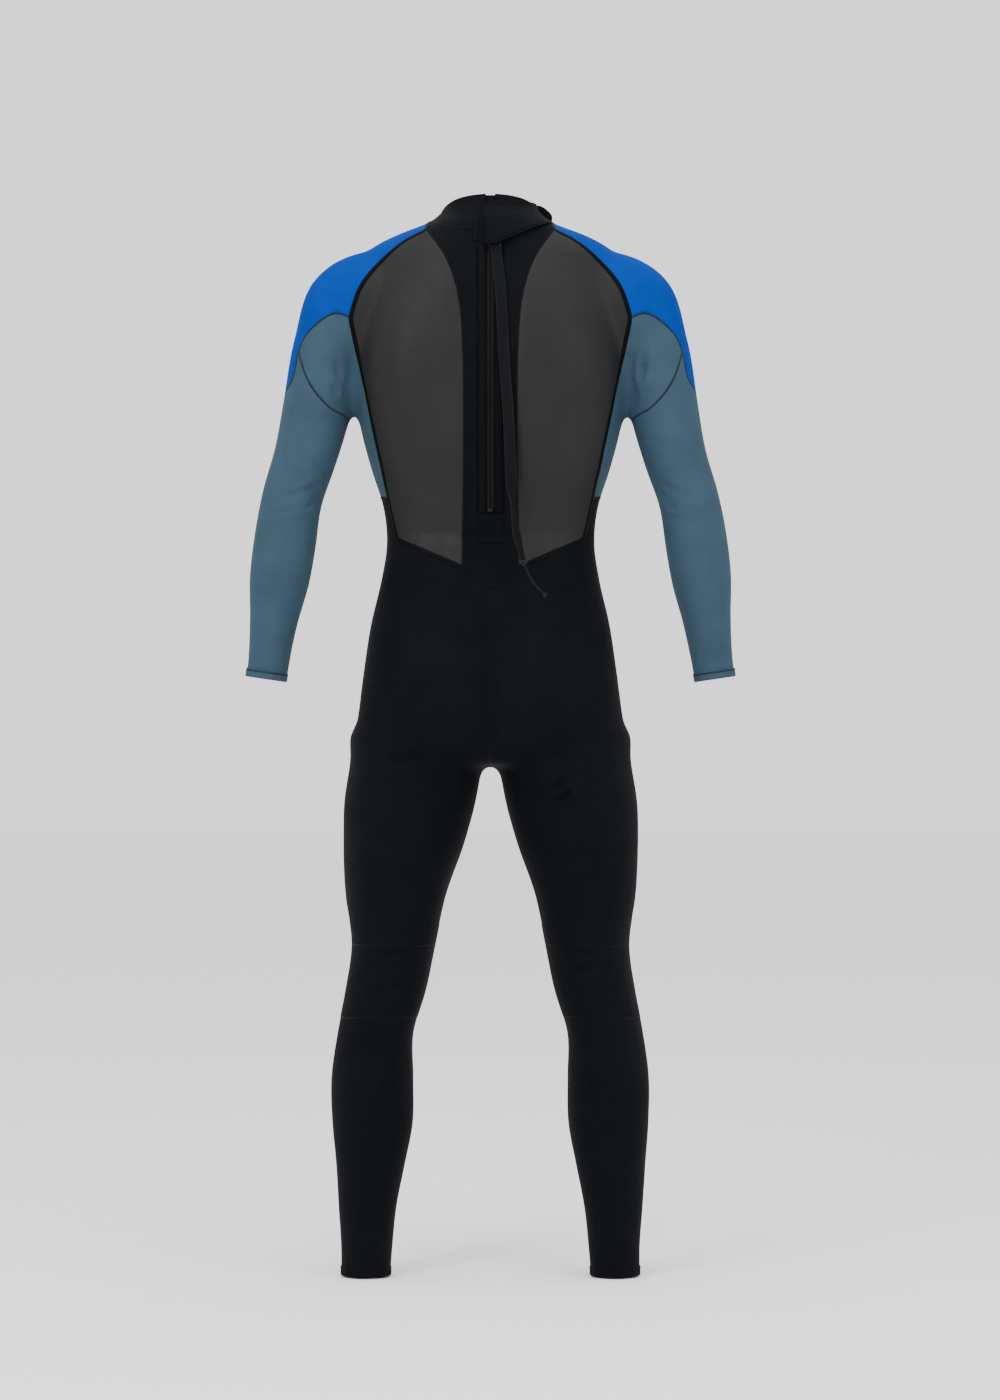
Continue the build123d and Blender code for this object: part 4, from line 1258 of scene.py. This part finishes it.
# Hems and rims: turned, rounded bands with a row of stitching.
def turned_ring(centre, axis, radius, sideways, wide, thick, count=96, ripple=0.25):
    """A band round an opening: its rounded section, its middle line and the ways out from the middle."""
    t = np.linspace(0, 2 * math.pi, count, endpoint=False)
    out = np.cos(t)[:, None] * sideways + np.sin(t)[:, None] * np.array([0, 1.0, 0])
    base = centre + out * radius
    base = base + out * (ripple * (np.sin(5 * t + 1) + 0.6 * np.sin(11 * t)))[:, None]
    p = np.linspace(0, 2 * math.pi, 14, endpoint=False)
    u, w = np.sign(np.cos(p)) * np.abs(np.cos(p)) ** 0.45, np.sign(np.sin(p)) * np.abs(np.sin(p)) ** 0.8
    rings = base[:, None] + axis * (u * wide / 2)[None, :, None] + out[:, None] * (w * thick / 2)[None, :, None]
    return rings.reshape(-1, 3), tube(count, len(p), ring=True), base, out


def hem(part, hand, body, spot, axis, sideways, size, rows, proud, sink, looks, slot):
    """A turned hem, and rows of stitching at these places along its axis."""
    verts, faces, base, out = turned_ring(spot, axis, size[0], sideways, *size[1:])
    if hand == "right":
        faces = [f[::-1] for f in faces]
    placed(make(f"{part}_hem_{hand}", verts, faces, looks[0]), body, slot, f"{part}_hem_{hand}")
    strips = []
    for shift in rows:
        line, along = resampled(closed(base) + axis * shift + closed(out) * proud, 2.5)
        strips.append(strip_on(line, unit(line - spot + axis * sink), along, 1.1, 0.4, 0.05, -0.3))
    verts, faces, uv = merged(strips)
    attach(make(f"{part}_stitching_{hand}", verts, faces, looks[1], uv=uv), body)


for s, hand in ((1, "left"), (-1, "right")):
    axis, a = WRIST_DOWN * [s, 1, 1], np.array([math.cos(WRIST_LEAN) * s, 0, math.sin(WRIST_LEAN)])
    hem("wrist", hand, f"forearm_{hand}", WRIST * [s, 1, 1] + axis * 5.5, axis, a, (27.6, 12.5, 3.0),
        (-4.2, -2.6), 1.35, 0, (SLATE, GREY_STITCH), "slate_neoprene")
    hem("ankle", hand, f"lower_leg_{hand}", np.array([170.0 * s, 12, 7.0]), np.array([0, 0, -1.0]),
        np.array([s * 1.0, 0, 0]), (33.2, 14, 3.2), (-4.6, -3.0), 1.45, 4, (BLACK, BLACK_STITCH), "black_neoprene")

# Collar rim: a rolled, bound edge along the sloping neck opening.
edges = rim_pairs(tris[label == "collar"])
on_rim = np.abs(side_of(cloth[:, 1:3], COLLAR_RIM)) < 0.8
links = linked(edges[on_rim[edges[:, 0]] & on_rim[edges[:, 1]]].tolist())
ends = [i for i in links if len(links[i]) == 1]
line = [min(ends, key=lambda i: cloth[i, 0]) if ends else min(links)]
walked(links, line, set(links) - set(line))
rows, along = resampled(cloth[line], 3.0)
rows = softened(rows, 8)
points, normals = rows[:, :3], unit(rows[:, 3:])
tangent = unit(np.gradient(points, axis=0))
up = unit(np.cross(tangent, normals))
up = up * np.sign(up[:, 2:3])
a = np.linspace(0, 2 * math.pi, 12, endpoint=False)
rings = points - normals * 1.5 - up * 0.6
out, along_up = normals[:, None] * (2.0 * np.cos(a))[None, :, None], up[:, None] * (2.3 * np.sin(a))[None, :, None]
verts = (rings[:, None] + out + along_up).reshape(-1, 3)
rim = make("collar_binding", verts, tube(len(points), len(a)), BINDING, uv=band_uv(along, range(len(a))))
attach(rim, "root")
v, f, u = strip_on(points - up * 5.0, normals, along, 1.2, 0.4, 0.05, -0.4)
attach(make("collar_rim_stitching", v, f, BLACK_STITCH, uv=u), "root")

# Crotch gusset: a small diamond where the inner leg seams meet.
t = np.linspace(0, 2 * math.pi, 32, endpoint=False)
gusset_y = np.linspace(-22, 22, 12)
verts = []
for y in gusset_y:
    k = math.sqrt(max(0.0, 1 - (y / 24) ** 2))
    verts += [(5.5 * k * math.cos(q), y, 703.5 + 4.5 * k * math.sin(q)) for q in t]
gusset = make("crotch_gusset", np.array(verts), tube(len(gusset_y), len(t), turned=True), BLACK)
placed(gusset, "root", "black_neoprene", "crotch_gusset")

# Studio: pale floor, even white surround, soft lights behind the camera.
paper = bpy.data.materials.new("paper")
paper.use_nodes = True
paper.node_tree.nodes["Principled BSDF"].inputs["Base Color"].default_value = (0.9, 0.9, 0.9, 1)
paper.node_tree.nodes["Principled BSDF"].inputs["Roughness"].default_value = 0.9
bpy.ops.mesh.primitive_plane_add(size=40, location=(0, 0, FLOOR_Z))
floor = bpy.context.object
floor.name = "floor"
floor.data.materials.append(paper)
world = bpy.data.worlds.new("studio")
world.use_nodes = True
world.node_tree.nodes["Background"].inputs["Color"].default_value = (1, 1, 1, 1)
world.node_tree.nodes["Background"].inputs["Strength"].default_value = 1.5
bpy.context.scene.world = world
for name, spot, size, power in (
    ("key", (2.4, 4.2, 1.6), 1.8, 120), ("fill", (-2.8, 3.8, 0.6), 2.4, 55), ("top", (0.0, 0.9, 2.6), 2.0, 75),
):
    light = bpy.data.lights.new(name, "AREA")
    light.energy = power
    light.size = size
    lamp = bpy.data.objects.new(name, light)
    lamp.location = spot
    lamp.rotation_euler = (Vector((0, 0, -0.55)) - Vector(spot)).to_track_quat("-Z", "Y").to_euler()
    bpy.context.collection.objects.link(lamp)
